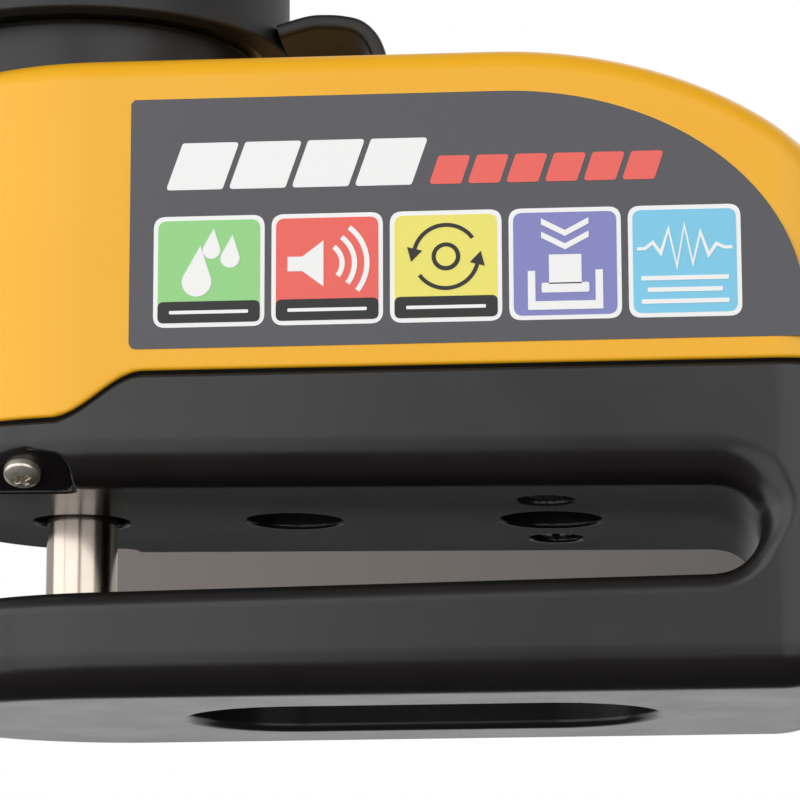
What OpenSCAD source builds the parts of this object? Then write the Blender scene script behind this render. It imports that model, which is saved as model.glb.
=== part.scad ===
// Alarm disc brake lock: a U-shaped lock body with a push-down pin, an alarm
// housing over it and a capped lock cylinder at the nose. Shown locked.
// X runs along the lock, front face towards -Y, underside at Z = 0.

/* [Body] */
// Thickness of the body, front face to back face
body_t = 39.5; // [38:0.5:44]
// Reach of the body past the pin
end_reach = 67.45; // [66:0.5:72]
// Distance of the pin from the middle of the lock
pin_from_middle = 25; // [24:0.5:26]
// Distance from the pin to the centre of the round nose
nose_offset = 3.8; // [3:0.2:4]
// Height of the joint between lock body and shell
joint_h = 25.7; // [25.5:0.1:26.5]
// Drop of that joint at the nose
joint_drop = 3.6; // [2:0.2:4]
// Height of the shell's flat top
shell_top = 52.3; // [52:0.1:54]
// Wall of the shell
shell_wall = 2.2; // [1.8:0.1:2.4]

/* [Disc slot] */
// Height of the lower jaw at the pin
jaw_h = 8.3; // [8:0.1:8.8]
// Height of the slot's ceiling at the pin
ceiling_h = 17.05; // [16.5:0.1:17.4]
// Reach of the slot past the pin
slot_reach = 57.2; // [52:0.5:58]
// Taper of each side of the slot, in degrees
slot_taper = 0.73; // [0:0.05:1]

/* [Lock pin and cylinder] */
// Diameter of the lock pin
pin_d = 6; // [5:0.5:6]
// Height of the pin's tip above the underside when locked
pin_tip = 5; // [4:0.5:6]
// Rise of the plunger when it is unlocked
plunger_travel = 12.6; // [12.2:0.1:12.8]
// Diameter of the plunger's barrel
barrel_d = 22; // [21:0.5:22]
// Diameter of the key plug
plug_d = 14; // [13.8:0.2:14.2]
// Diameter of the collar on the shell
collar_d = 29.2; // [29:0.2:30]

/* [Dust cap] */
// Diameter of the dust cap
cap_d = 34.9; // [34.5:0.1:35.5]
// Height of the cap's lower rim
cap_rim = 57.3; // [57.2:0.1:57.5]
// Height of the cap's top
cap_top = 69; // [68.6:0.1:70]

/* [Hidden] */
$fn = 64;
eps = 0.01;
half_t = body_t / 2;

// Outline of the whole lock
end_r = 9;               // upright corners at the far end
heel_r = 10;             // lower corner at the far end, seen from the front
bottom_r = 3.4;          // rounded lower edge
shell_r = 2;             // rounded edges of the shell
crown_x = 36.5;          // where the flat top starts to fall
crown_drop = 22.5;       // height of the falling quarter ellipse
seam = 0.3;              // gasket thickness
step_start = 0.6;        // the joint's S-bend, from the pin
step_end = 8.3;

// Slot
slot_lead = 30;          // cut past the nose
mouth_up = 3.4;          // bevel of the slot's upper edge
mouth_down = 1.8;        // bevel of the slot's lower edge

// Bores and bosses of the lock body
deck = 20.5;             // floor of the hollow under the alarm
boss_r = 13.3;
guide_r = 5;
guide_seat = 19.6;
guide_hole_r = 4.05;
socket_r = 4.6;
socket_floor = 2.6;
well_r = 8.6;
well_core_r = 6.6;
well_floor = 21.4;
shell_screw_x = 18.13;
shell_screw_r = 1.5;
shell_screw_seat = 20.05;
shell_post_r = 3.4;
shell_post_foot = 23;
sounder_x = 39.85;
sound_port_r = 4.25;
sounder_screw_y = 9.7;
sounder_screw_r = 1.1;
sounder_head_r = 2.2;
hollow_end = 62.5;
hollow_half_w = 15.5;
post_x = [27, 60.5];
post_y = 13;
post_r = 2.2;
board_screw_r = 0.9;
board_z = 28.6;
board_t = 1;
board_x = [23.6, 62.5];
board_half_w = 15;

// Relief in the underside of the lower jaw
relief_x = [9.5, 48.5];
relief_r = 9;
relief_depth = 2.4;

// Screws at the nose
nose_screw_x = -2;
nose_screw_y = 16.65;
nose_screw_z = 18.6;
nose_screw_tilt = 60;    // below the horizontal
nose_head_r = 1.5;
nose_head_h = 1.4;
nose_shank_r = 1;
nose_shank_l = 2.2;
spot_half_l = 4.1;       // spot face, along the lock
spot_half_w = 2.5;
spot_corner = 1.2;
spot_depth = 6;

// Plunger and what it holds
barrel_foot = 28.4;
head_foot = 57.6;
head_top = 66.9;
head_r = 15.3;
barrel_r = barrel_d / 2;
plug_r = plug_d / 2;
running = 0.06;          // radial clearance of turning and sliding fits
switch_y = 9.65;
button_r = 0.6;
plug_foot = 38.6;
cam_foot = 37.2;
bolt_z = 34;
bolt_h = 2.8;
bolt_half_w = 3.9;
crank = 2;
crank_r = 0.9;
bolt_reach = 12.6;
stud_r = 2.4;
stud_top = 33;
sleeve_r = 13;
sleeve_top = 50.4;
collar_rise = 5;
collar_bore_r = barrel_r + 0.3;
seal_z = [52.2, 54.8];
seal_r = 0.55;
tumbler_r = 1.25;
tumbler_z = [43 : 3.6 : 58];
retainer_z = 61.6;
retainer_r = 0.8;

// Coil round the pin guide, one closed tube
spring_r = 7.6;
spring_wire_r = 0.5;
spring_turns = 5;
spring_steps = 18;
spring_sides = 8;

// Strap of the cap, and its middle line seen from the front
strap_x = 26;
strap_r = 0.65;
strap_w = 11;
strap_line = [[18.45, 58.7], [19.7, 59.1], [21.2, 59.2], [22.8, 59.05], [24.2, 58.6],
              [25.3, 57.4], [25.9, 55.6], [strap_x, 53]];
stem_r = 1.3;

// Battery, board and sounder
cell_r = 5.8;
cell_h = 5.4;
cell_count = 6;
cell_x = 25.8;
cell_y = -6.9;
cell_z = 36.9;
sounder_r = 11.4;
sounder_h = 7.2;
disc_r = 8.85;
disc_t = 0.25;
disc_rise = 5;
lead_foot = deck + disc_rise + disc_t + 0.2;

// Labels
label_left = 7;
label_low = 27.7;
label_high = 48.4;
label_bend_x = 37;
label_bend_z = 30;
label_right = 61.1;
label_t = 0.25;

// Height of the joint between lock body and shell at a distance from the pin
function joint_at(x) =
    x <= step_start ? joint_h - joint_drop :
    x >= step_end ? joint_h :
    joint_h - joint_drop * (0.5 + 0.5 * cos(180 * (x - step_start) / (step_end - step_start)));

// Everything is drawn from the pin's axis and moved to the middle of the lock
module from_pin() translate([-pin_from_middle, 0, 0]) children();

// Outline seen from above, drawn in by inset
module plan_shape(inset = 0) {
    corner_x = end_reach - end_r;
    corner_y = half_t - end_r;
    translate([nose_offset, 0]) circle(r = half_t - inset, $fn = 96);
    translate([nose_offset, inset - half_t]) square([corner_x - nose_offset, 2 * (half_t - inset)]);
    translate([corner_x - 1, -corner_y]) square([end_r + 1 - inset, 2 * corner_y]);
    for (side = [-1, 1]) translate([corner_x, side * corner_y]) circle(r = end_r - inset, $fn = 48);
}

// Outline seen from the front, drawn in by inset
module side_shape(inset = 0) {
    crown_w = end_reach - crown_x - inset;
    crown_h = crown_drop - inset;
    heel_x = end_reach - heel_r;
    polygon(concat(
        [[-slot_lead, inset], [heel_x, inset]],
        [for (a = [0 : 9 : 90]) [heel_x + (heel_r - inset) * sin(a), heel_r - (heel_r - inset) * cos(a)]],
        [for (a = [0 : 5 : 90]) [crown_x + crown_w * cos(a), shell_top - crown_drop + crown_h * sin(a)]],
        [[-slot_lead, shell_top - inset]]));
}

// Stands a front outline up and gives it thickness along Y
module upright(t) translate([0, t / 2, 0]) rotate([90, 0, 0]) linear_extrude(t) children();

// Outer form of the lock body, with its lower edge rounded
module body_form() {
    intersection() {
        hull() {
            for (a = [0 : 15 : 75]) translate([0, 0, bottom_r * (1 - cos(a))])
                linear_extrude(eps) plan_shape(bottom_r * (1 - sin(a)));
            translate([0, 0, bottom_r]) linear_extrude(joint_h) plan_shape();
        }
        upright(body_t + 1) side_shape();
    }
}

// Outer form of the shell, with rounded upper edges
module shell_form(inset = 0) {
    r = shell_r;
    intersection() {
        hull() {
            linear_extrude(shell_top - r) plan_shape(inset);
            for (a = [15 : 15 : 90]) translate([0, 0, shell_top - inset - r * (1 - sin(a))])
                linear_extrude(eps) plan_shape(inset + r * (1 - cos(a)));
        }
        hull() {
            for (a = [0 : 15 : 90]) upright(2 * (half_t - inset - r * (1 - sin(a))))
                side_shape(inset + r * (1 - cos(a)));
        }
    }
}

// Everything under the joint, raised by rise
module below_joint(rise = 0) {
    upright(body_t + 2) polygon(concat(
        [[-slot_lead, -5], [end_reach + 5, -5], [end_reach + 5, joint_h + rise]],
        [for (i = [16 : -1 : 0])
            let (x = step_start + (step_end - step_start) * i / 16) [x, joint_at(x) + rise]],
        [[-slot_lead, joint_h - joint_drop + rise]]));
}

// The disc slot, tapered towards its round end and widened at its mouth
module slot_shape(up = 0, down = 0) {
    end_drop = slot_reach * tan(slot_taper);
    end_half = (ceiling_h - jaw_h - 2 * end_drop) / 2;
    end_x = slot_reach - end_half;
    mid = (ceiling_h + jaw_h) / 2;
    lead = slot_lead * tan(slot_taper);
    polygon([[-slot_lead, jaw_h - lead - down], [end_x, jaw_h + end_drop - down],
             [end_x, ceiling_h - end_drop + up], [-slot_lead, ceiling_h + lead + up]]);
    translate([end_x, mid + (up - down) / 2]) circle(r = end_half + (up + down) / 2, $fn = 48);
}

module slot_bevel() {
    upright(mouth_up * 2) slot_shape(0, 0);
    upright(2 * eps) slot_shape(mouth_up, mouth_down);
}

// Axis of the tilted screws under the nose, for the front or the back
module nose_screw_axis(side) {
    translate([nose_screw_x, side * nose_screw_y, nose_screw_z])
        rotate([-side * (90 + nose_screw_tilt), 0, 0]) children();
}

// Flat seat of such a screw, with room above it
module spot_face() {
    x = spot_half_l - spot_corner;
    y = spot_half_w - spot_corner;
    hull() for (i = [-1, 1], j = [-1, 1]) translate([i * x, j * y, 0])
        cylinder(r = spot_corner, h = spot_depth);
}

module cross_recess(r, depth) {
    for (turn = [0, 90]) rotate([0, 0, turn]) translate([-r, -r / 4, -depth]) cube([2 * r, r / 2, depth + 1]);
}

module pan_screw(head_r, head_h, shank_r, shank_l) {
    difference() {
        union() {
            cylinder(r = head_r, h = head_h * 0.6);
            translate([0, 0, head_h * 0.6]) cylinder(r1 = head_r, r2 = head_r * 0.75, h = head_h * 0.4);
        }
        translate([0, 0, head_h]) cross_recess(head_r * 0.6, head_h * 0.6);
    }
    translate([0, 0, -shank_l]) cylinder(r = shank_r, h = shank_l);
}

module lock_body() color("#2c2b2a") {
    difference() {
        union() {
            intersection() {
                body_form();
                below_joint();
            }
            translate([0, 0, deck - 1]) cylinder(r = boss_r, h = joint_h - deck + 1);
        }
        upright(body_t + 2) slot_shape();
        for (side = [-1, 1]) translate([0, side * half_t, 0]) hull() slot_bevel();
        // hollow under the alarm, with posts for the board
        difference() {
            translate([boss_r + 1, -hollow_half_w, deck])
                cube([hollow_end - boss_r - 1, 2 * hollow_half_w, 20]);
            for (x = post_x, side = [-1, 1]) translate([x, side * post_y, 0]) cylinder(r = post_r, h = joint_h);
            translate([shell_screw_x, 0, 0]) cylinder(r = shell_post_r, h = shell_post_foot);
        }
        // pin guide, its seat and the spring's well
        translate([0, 0, ceiling_h - 2]) cylinder(r = guide_hole_r, h = guide_seat - ceiling_h + 3);
        translate([0, 0, guide_seat]) cylinder(r = guide_r, h = 20);
        translate([0, 0, well_floor]) difference() {
            cylinder(r = well_r, h = 20);
            cylinder(r = well_core_r, h = joint_h - well_floor);
        }
        // pin socket in the lower jaw
        translate([0, 0, socket_floor]) cylinder(r = socket_r, h = jaw_h);
        // shell screw and sound port
        translate([shell_screw_x, 0, ceiling_h - 2]) cylinder(r = guide_hole_r, h = 5);
        translate([shell_screw_x, 0, ceiling_h]) cylinder(r = shell_screw_r + 0.1, h = 10);
        translate([sounder_x, 0, ceiling_h - 2]) cylinder(r = sound_port_r, h = 10);
        for (side = [-1, 1]) translate([sounder_x, side * sounder_screw_y, ceiling_h - 2]) {
            cylinder(r = sounder_head_r + 0.15, h = 2.6);
            cylinder(r = sounder_screw_r, h = 10);
        }
        // tapped holes for the board screws
        for (x = post_x, side = [-1, 1]) translate([x, side * post_y, deck])
            cylinder(r = board_screw_r, h = 10);
        // spot faces and holes for the screws at the nose
        for (side = [-1, 1]) nose_screw_axis(side) {
            spot_face();
            translate([0, 0, -nose_shank_l - 0.1]) cylinder(r = nose_shank_r, h = nose_shank_l + 1);
        }
        // relief in the underside
        translate([0, 0, -1]) relief_shape();
    }
    for (x = post_x, side = [-1, 1]) translate([x, side * post_y, joint_h]) difference() {
        cylinder(r = post_r, h = board_z - joint_h);
        translate([0, 0, -1]) cylinder(r = board_screw_r, h = 10);
    }
}

module relief_shape() {
    for (x = [relief_x[0] + relief_r, relief_x[1] - relief_r]) translate([x, 0, 0])
        cylinder(r = relief_r, h = relief_depth + 1);
    translate([relief_x[0] + relief_r, -relief_r, 0])
        cube([relief_x[1] - relief_x[0] - 2 * relief_r, 2 * relief_r, relief_depth + 1]);
}

module label_shape(grow = 0) {
    low = label_low - grow;
    bend_w = label_right - label_bend_x + grow;
    bend_h = label_high - label_bend_z + grow;
    polygon(concat(
        [[label_left - grow, low], [label_right + grow, low]],
        [for (a = [0 : 5 : 90]) [label_bend_x + bend_w * cos(a), label_bend_z + bend_h * sin(a)]],
        [[label_left - grow, label_high + grow]]));
}

module shell() color("#f0a72c") {
    difference() {
        shell_form();
        below_joint(seam);
        difference() {
            shell_form(shell_wall);
            translate([shell_screw_x, 0, shell_post_foot + 0.1]) cylinder(r = shell_post_r, h = 40);
        }
        translate([shell_screw_x, 0, 20]) cylinder(r = shell_screw_r, h = 13);
        translate([0, 0, joint_h]) cylinder(r = sleeve_r + running, h = 40);
        translate([strap_x, 0, joint_h]) cylinder(r = stem_r, h = 40);
        for (side = [-1, 1]) translate([0, side * (half_t - label_t / 2), 0])
            upright(label_t + eps) label_shape(0.05);
    }
}

module side_label(side) {
    translate([0, side * (half_t - label_t / 2), 0]) upright(label_t) label_shape();
}
module front_label() color("#626167") side_label(-1);
module back_label() color("#626167") side_label(1);

module shell_gasket() color("#1a1a1a") {
    difference() {
        linear_extrude(joint_h + 2) difference() {
            plan_shape(0.35);
            plan_shape(shell_wall);
        }
        below_joint();
        translate([0, 0, seam]) difference() {
            translate([-50, -50, -20]) cube([150, 100, 80]);
            below_joint();
        }
    }
}

module lock_collar() color("#1d1d1e") {
    difference() {
        union() {
            translate([0, 0, shell_top - shell_wall + 0.3]) cylinder(r = sleeve_r, h = shell_wall);
            translate([0, 0, shell_top]) cylinder(d = collar_d, h = collar_rise - 0.8);
            translate([0, 0, shell_top + collar_rise - 0.8])
                cylinder(d1 = collar_d, d2 = collar_d - 1.6, h = 0.8);
        }
        translate([0, 0, joint_h]) cylinder(r = collar_bore_r, h = 40);
    }
}

module guide_sleeve() color("#b9b6ae") {
    difference() {
        translate([0, 0, joint_h]) cylinder(r = sleeve_r, h = sleeve_top - joint_h);
        translate([0, 0, joint_h - 1]) cylinder(r = barrel_r + running, h = 40);
        translate([0, -2.6, bolt_z - 0.3]) cube([20, 5.2, plunger_travel + bolt_h + 0.6]);
    }
}

module pin_guide() color("#c9a35a") {
    translate([0, 0, guide_seat]) difference() {
        cylinder(r = guide_r, h = joint_h - guide_seat);
        translate([0, 0, -1]) cylinder(d = pin_d + 2 * running, h = 20);
    }
}

module pin_socket() color("#c6c4be") {
    translate([0, 0, socket_floor]) difference() {
        cylinder(r = socket_r, h = jaw_h - socket_floor - 0.1);
        translate([0, 0, 1]) cylinder(d = pin_d + 2 * running, h = 20);
    }
}

module nose_screws() color("#d8d6d0") {
    for (side = [-1, 1]) nose_screw_axis(side) pan_screw(nose_head_r, nose_head_h, nose_shank_r, nose_shank_l);
}

module sounder_screws() color("#3a3a3a") {
    for (side = [-1, 1]) translate([sounder_x, side * sounder_screw_y, ceiling_h + 0.6])
        rotate([180, 0, 0]) pan_screw(sounder_head_r, 1.1, sounder_screw_r, 6);
}

module shell_screw() color("#8d8d8c") {
    translate([shell_screw_x, 0, shell_screw_seat]) rotate([180, 0, 0]) pan_screw(3, 1.8, shell_screw_r, 11);
}

module circuit_board() color("#1f6b3a") {
    difference() {
        translate([board_x[0], -board_half_w, board_z])
            cube([board_x[1] - board_x[0], 2 * board_half_w, board_t]);
        for (x = post_x, side = [-1, 1]) translate([x, side * post_y, board_z - 1])
            cylinder(r = board_screw_r + 0.1, h = 4);
    }
}

module board_screws() color("#b5b3ad") {
    for (x = post_x, side = [-1, 1]) translate([x, side * post_y, board_z + board_t])
        pan_screw(1.8, 1.2, board_screw_r, 5);
}

module board_parts() color("#202020") {
    top = board_z + board_t;
    translate([38, 5, top]) cube([9, 7, 1.6]);
    for (i = [0 : 5]) translate([34 + 3.4 * i, 2.2, top]) cube([1.8, 1, 0.7]);
    for (i = [0 : 3]) translate([50, 2 + 2.6 * i, top]) cube([2.4, 1.2, 0.8]);
    translate([56, 6, top]) cylinder(r = 2.6, h = 6);
}

module shock_sensor() color("#c9a35a") {
    translate([30, 7, board_z + board_t]) {
        cylinder(r = 3.2, h = 1);
        cylinder(r = 2.6, h = 9);
    }
}

module arm_switch() color("#232323") {
    difference() {
        translate([-2.5, switch_y - 0.9, joint_h]) cube([5, 1.8, 2.2]);
        translate([0, switch_y, joint_h + 0.4]) cylinder(r = button_r + 0.05, h = 5, $fn = 32);
    }
}

module arm_button() color("#d9d5c8") {
    translate([0, switch_y, joint_h + 0.6]) cylinder(r = button_r, h = barrel_foot - joint_h - 0.65, $fn = 32);
}

module sounder() color("#262626") {
    difference() {
        translate([sounder_x, 0, deck]) cylinder(r = sounder_r, h = sounder_h);
        translate([sounder_x, 0, deck - 1]) cylinder(r = sound_port_r, h = 5);
        translate([sounder_x, 0, deck + 1.4]) cylinder(r = disc_r - 0.55, h = 10);
        translate([sounder_x, 0, deck + disc_rise]) cylinder(r = disc_r + 0.05, h = 10);
        for (side = [-1, 1]) translate([sounder_x, side * sounder_screw_y, deck - 1])
            cylinder(r = sounder_screw_r, h = 5);
    }
}

module sounder_disc() color("#c9a35a") {
    translate([sounder_x, 0, deck + disc_rise]) {
        cylinder(r = disc_r, h = disc_t);
        translate([0, 0, disc_t]) cylinder(r = 6, h = 0.2);
    }
}

module battery_tray() color("#2b2b2b") {
    pack_l = cell_count * cell_h;
    difference() {
        translate([cell_x - 1.3, cell_y - 6.6, board_z + board_t]) cube([pack_l + 2.6, 13.2, 8.4]);
        translate([cell_x - 0.5, cell_y, cell_z]) rotate([0, 90, 0]) cylinder(r = cell_r + 0.1, h = pack_l + 1);
        for (x = post_x) translate([x, -post_y, board_z]) cylinder(r = 2.1, h = board_t + 1.5);
    }
}

module button_cells() color("#d0d0cf") {
    for (i = [0 : cell_count - 1]) translate([cell_x + i * cell_h, cell_y, cell_z]) rotate([0, 90, 0]) {
        cylinder(r = cell_r, h = cell_h - 0.8);
        translate([0, 0, cell_h - 0.8]) cylinder(r = cell_r - 1.1, h = 0.75);
    }
}

module battery_contacts() color("#d9c27a") {
    pack_l = cell_count * cell_h;
    for (x = [cell_x - 0.45, cell_x + pack_l + 0.05])
        translate([x, cell_y, cell_z]) rotate([0, 90, 0]) cylinder(r = 4, h = 0.4);
}

module lead_wires() color("#b02a24") {
    for (x = [-4, 4]) translate([sounder_x + x, 3, lead_foot]) cylinder(r = 0.4, h = board_z - lead_foot);
}

module plunger() color("#a9a6a0") {
    difference() {
        union() {
            translate([0, 0, barrel_foot]) cylinder(r = barrel_r, h = head_foot - barrel_foot + 1);
            translate([0, 0, head_foot]) cylinder(r = head_r, h = head_top - head_foot);
        }
        translate([0, 0, bolt_z - 0.1]) cylinder(r = plug_r + running, h = 50);
        translate([0, -bolt_half_w - running, bolt_z - 0.1])
            cube([20, 2 * (bolt_half_w + running), bolt_h + 0.2]);
        translate([0, 0, barrel_foot - 1]) cylinder(r = stud_r, h = stud_top - barrel_foot + 1);
        for (z = seal_z) translate([0, 0, z]) difference() {
            translate([0, 0, -seal_r - 0.05]) cylinder(r = barrel_r + 1, h = 2 * seal_r + 0.1);
            translate([0, 0, -2]) cylinder(r = barrel_r - 0.95, h = 4);
        }
        for (z = tumbler_z) translate([0, 0, z]) rotate([-90, 0, 0]) cylinder(r = tumbler_r, h = 9.9, $fn = 32);
        translate([-6, plug_r, retainer_z]) rotate([0, 90, 0]) cylinder(r = retainer_r, h = 30, $fn = 32);
    }
}

module lock_pin() color("#d7d3ca") {
    translate([0, 0, pin_tip]) cylinder(d1 = pin_d - 1.2, d2 = pin_d, h = 0.6);
    translate([0, 0, pin_tip + 0.6]) cylinder(d = pin_d, h = barrel_foot - pin_tip - 0.6);
    translate([0, 0, barrel_foot]) cylinder(r = stud_r, h = stud_top - barrel_foot);
}

module plunger_seals() color("#141414") {
    for (z = seal_z) translate([0, 0, z]) rotate_extrude()
        translate([barrel_r - 0.4, 0]) circle(r = seal_r, $fn = 32);
}

module retaining_pin() color("#c6c4be") {
    translate([-6, plug_r, retainer_z]) rotate([0, 90, 0]) cylinder(r = retainer_r, h = 19, $fn = 32);
}

module return_spring() color("#b8bcc0") {
    low = well_floor + spring_wire_r + 0.05;
    high = barrel_foot - spring_wire_r - 0.05;
    rings = spring_turns * spring_steps;
    points = [for (i = [0 : rings], j = [0 : spring_sides - 1])
        let (turn = 360 * i / spring_steps,
             side = 360 * j / spring_sides,
             r = spring_r + spring_wire_r * cos(side),
             z = low + (high - low) * i / rings + spring_wire_r * sin(side))
        [r * cos(turn), r * sin(turn), z]];
    walls = [for (i = [0 : rings - 1], j = [0 : spring_sides - 1])
        let (k = (j + 1) % spring_sides)
        [i * spring_sides + j, i * spring_sides + k, (i + 1) * spring_sides + k, (i + 1) * spring_sides + j]];
    start = [for (j = [spring_sides - 1 : -1 : 0]) j];
    finish = [for (j = [0 : spring_sides - 1]) rings * spring_sides + j];
    polyhedron(points, concat([start], walls, [finish]));
}

module driver_pins() color("#c9a35a") {
    for (z = tumbler_z) translate([0, plug_r + 0.15, z]) rotate([-90, 0, 0])
        cylinder(r = tumbler_r - 0.05, h = 2.6, $fn = 32);
}

module key_plug() color("#c8b273") {
    difference() {
        translate([0, 0, plug_foot]) cylinder(r = plug_r, h = head_top - plug_foot);
        translate([-1.1, -4.5, plug_foot + 3]) cube([2.2, 9, 40]);
        for (z = tumbler_z) translate([0, 0, z]) rotate([-90, 0, 0]) cylinder(r = tumbler_r, h = 10, $fn = 32);
        translate([0, 0, retainer_z - 0.9]) difference() {
            cylinder(r = plug_r + 1, h = 1.8);
            cylinder(r = plug_r - 0.95, h = 1.8);
        }
    }
}

module key_pins() color("#b98a3c") {
    for (z = tumbler_z) translate([0, 4.55, z]) rotate([-90, 0, 0])
        cylinder(r = tumbler_r - 0.05, h = 2.1, $fn = 32);
}

module plug_cam() color("#8f8f8d") {
    translate([0, 0, cam_foot]) cylinder(r = 5.4, h = plug_foot - cam_foot);
    translate([crank, 0, bolt_z + 0.1]) cylinder(r = crank_r, h = cam_foot - bolt_z - 0.1);
}

module latch_bolt() color("#9b9b98") {
    difference() {
        translate([0, 0, bolt_z]) union() {
            translate([-1.5, -bolt_half_w, 0]) cube([11.5, 2 * bolt_half_w, bolt_h]);
            translate([9, -2.5, 0]) cube([bolt_reach - 9, 5, bolt_h]);
        }
        translate([crank - crank_r - 0.1, -crank_r - 0.1, bolt_z - 1])
            cube([2 * crank_r + 0.8, crank + 2 * crank_r + 0.2, 10]);
    }
}

module dust_cap() color("#1c1c1d") {
    edge = 1.2;
    difference() {
        union() {
            translate([0, 0, cap_rim]) cylinder(d = cap_d, h = cap_top - cap_rim - edge);
            translate([0, 0, cap_top - edge]) cylinder(d1 = cap_d, d2 = cap_d - 2 * edge, h = edge);
        }
        translate([0, 0, cap_rim - 1]) cylinder(r = head_r + running, h = head_top - cap_rim + 1.1);
    }
}

// Strap from beside the cap down to its anchor
module cap_strap() color("#1c1c1d") {
    for (i = [0 : len(strap_line) - 2]) hull() for (p = [strap_line[i], strap_line[i + 1]])
        translate([p[0], strap_w / 2, p[1]]) rotate([90, 0, 0]) cylinder(r = strap_r, h = strap_w, $fn = 24);
}

module strap_anchor() color("#1c1c1d") {
    translate([strap_x, 0, shell_top - shell_wall - 1]) {
        cylinder(r = 2.4, h = 1);
        cylinder(r = stem_r, h = shell_wall + 1.05);
    }
}

from_pin() lock_body();
from_pin() shell();
from_pin() front_label();
from_pin() back_label();
from_pin() shell_gasket();
from_pin() lock_collar();
from_pin() guide_sleeve();
from_pin() pin_guide();
from_pin() pin_socket();
from_pin() nose_screws();
from_pin() sounder_screws();
from_pin() shell_screw();
from_pin() circuit_board();
from_pin() board_screws();
from_pin() board_parts();
from_pin() shock_sensor();
from_pin() arm_switch();
from_pin() arm_button();
from_pin() sounder();
from_pin() sounder_disc();
from_pin() battery_tray();
from_pin() button_cells();
from_pin() battery_contacts();
from_pin() lead_wires();
from_pin() plunger();
from_pin() lock_pin();
from_pin() plunger_seals();
from_pin() retaining_pin();
from_pin() return_spring();
from_pin() driver_pins();
from_pin() key_plug();
from_pin() key_pins();
from_pin() plug_cam();
from_pin() latch_bolt();
from_pin() dust_cap();
from_pin() cap_strap();
from_pin() strap_anchor();
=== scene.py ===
"""Alarm disc brake lock: the looks of every piece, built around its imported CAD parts.

Shapes are worked out in millimetres from the pin's axis, and placed in the frame in metres.
"""

from __future__ import annotations

import logging
import math
from collections.abc import Callable, Sequence
from dataclasses import dataclass, field
from enum import Enum

import bmesh
import bpy
import numpy as np
from mathutils import Matrix, Vector


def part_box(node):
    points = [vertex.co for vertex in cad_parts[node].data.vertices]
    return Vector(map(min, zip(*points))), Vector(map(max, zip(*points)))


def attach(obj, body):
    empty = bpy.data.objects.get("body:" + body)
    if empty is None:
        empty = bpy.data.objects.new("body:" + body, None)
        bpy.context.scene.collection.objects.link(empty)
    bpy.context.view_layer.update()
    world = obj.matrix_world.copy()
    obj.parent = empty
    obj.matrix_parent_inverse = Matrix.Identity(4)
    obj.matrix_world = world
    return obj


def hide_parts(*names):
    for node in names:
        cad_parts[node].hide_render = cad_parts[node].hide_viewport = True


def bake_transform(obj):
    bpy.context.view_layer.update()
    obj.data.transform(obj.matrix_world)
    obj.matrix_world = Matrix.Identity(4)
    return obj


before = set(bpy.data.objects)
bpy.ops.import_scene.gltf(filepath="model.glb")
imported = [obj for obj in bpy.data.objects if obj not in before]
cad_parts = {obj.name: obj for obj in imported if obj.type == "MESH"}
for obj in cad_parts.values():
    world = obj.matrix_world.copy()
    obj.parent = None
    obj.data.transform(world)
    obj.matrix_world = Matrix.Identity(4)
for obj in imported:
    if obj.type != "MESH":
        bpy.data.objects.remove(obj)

logging.basicConfig(level=logging.INFO, format="%(message)s")
log = logging.getLogger("disc_lock")

# metres in a millimetre
MM = 0.001
# points closer than this, in metres, become one
WELD_REACH = 1e-6
# width of the camera's sensor, in mm
SENSOR_W = 36.0
WHITE = (1, 1, 1, 1)
Array = np.ndarray
Field = Callable[[Array, Array, Array], Array]
Point2 = tuple[float, float]
Point3 = tuple[float, float, float]


# ---------------------------------------------------------------- solid fields


def both(a: Array, b: Array, radius: Array | float) -> Array:
    """Field of what two solids share, with their common edge rounded.

    Args:
        a: Signed distance to the first solid, negative inside.
        b: Signed distance to the second solid.
        radius: Radius of the rounded edge, in mm.

    Returns:
        Signed distance to the shared solid.
    """
    corner = np.hypot(np.maximum(a + radius, 0), np.maximum(b + radius, 0))
    return np.minimum(np.maximum(a, b), -radius) + corner


def cut(a: Array, b: Array, radius: Array | float) -> Array:
    """Field of solid a without solid b, with a rounded edge."""
    return both(a, -b, radius)


def join(a: Array, b: Array, radius: float) -> Array:
    """Field of two solids together, with a fillet between them."""
    return -both(-a, -b, radius)


def corner_distance(u: Array, v: Array) -> Array:
    """Distance to the square corner where u < 0 and v < 0 meet."""
    return np.minimum(np.maximum(u, v), 0) + np.hypot(np.maximum(u, 0), np.maximum(v, 0))


def block(u: Array, v: Array, w: Array) -> Array:
    """Field of a box from the distances past its three pairs of sides."""
    outside = np.sqrt(np.maximum(u, 0) ** 2 + np.maximum(v, 0) ** 2 + np.maximum(w, 0) ** 2)
    return np.minimum(np.maximum(np.maximum(u, v), w), 0) + outside


def tube(x: Array, y: Array, z: Array, radius: float, low: float, high: float) -> Array:
    """Field of an upright cylinder on the origin between two heights."""
    return corner_distance(np.hypot(x, y) - radius, np.abs(z - (low + high) / 2) - (high - low) / 2)


def smooth_step(value: Array, start: float, end: float) -> Array:
    """Eases from 0 at start to 1 at end."""
    t = np.clip((value - start) / (end - start), 0, 1)
    return t * t * (3 - 2 * t)


def slope_of(solid: Field, points: Array, reach: float = 0.01) -> Array:
    """Gradient of a field at points, by central differences over reach in mm."""
    slope = np.empty_like(points)
    for axis in range(3):
        step = np.zeros(3)
        step[axis] = reach
        ahead, behind = points + step, points - step
        slope[:, axis] = (solid(*ahead.T) - solid(*behind.T)) / (2 * reach)
    return slope


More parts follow.
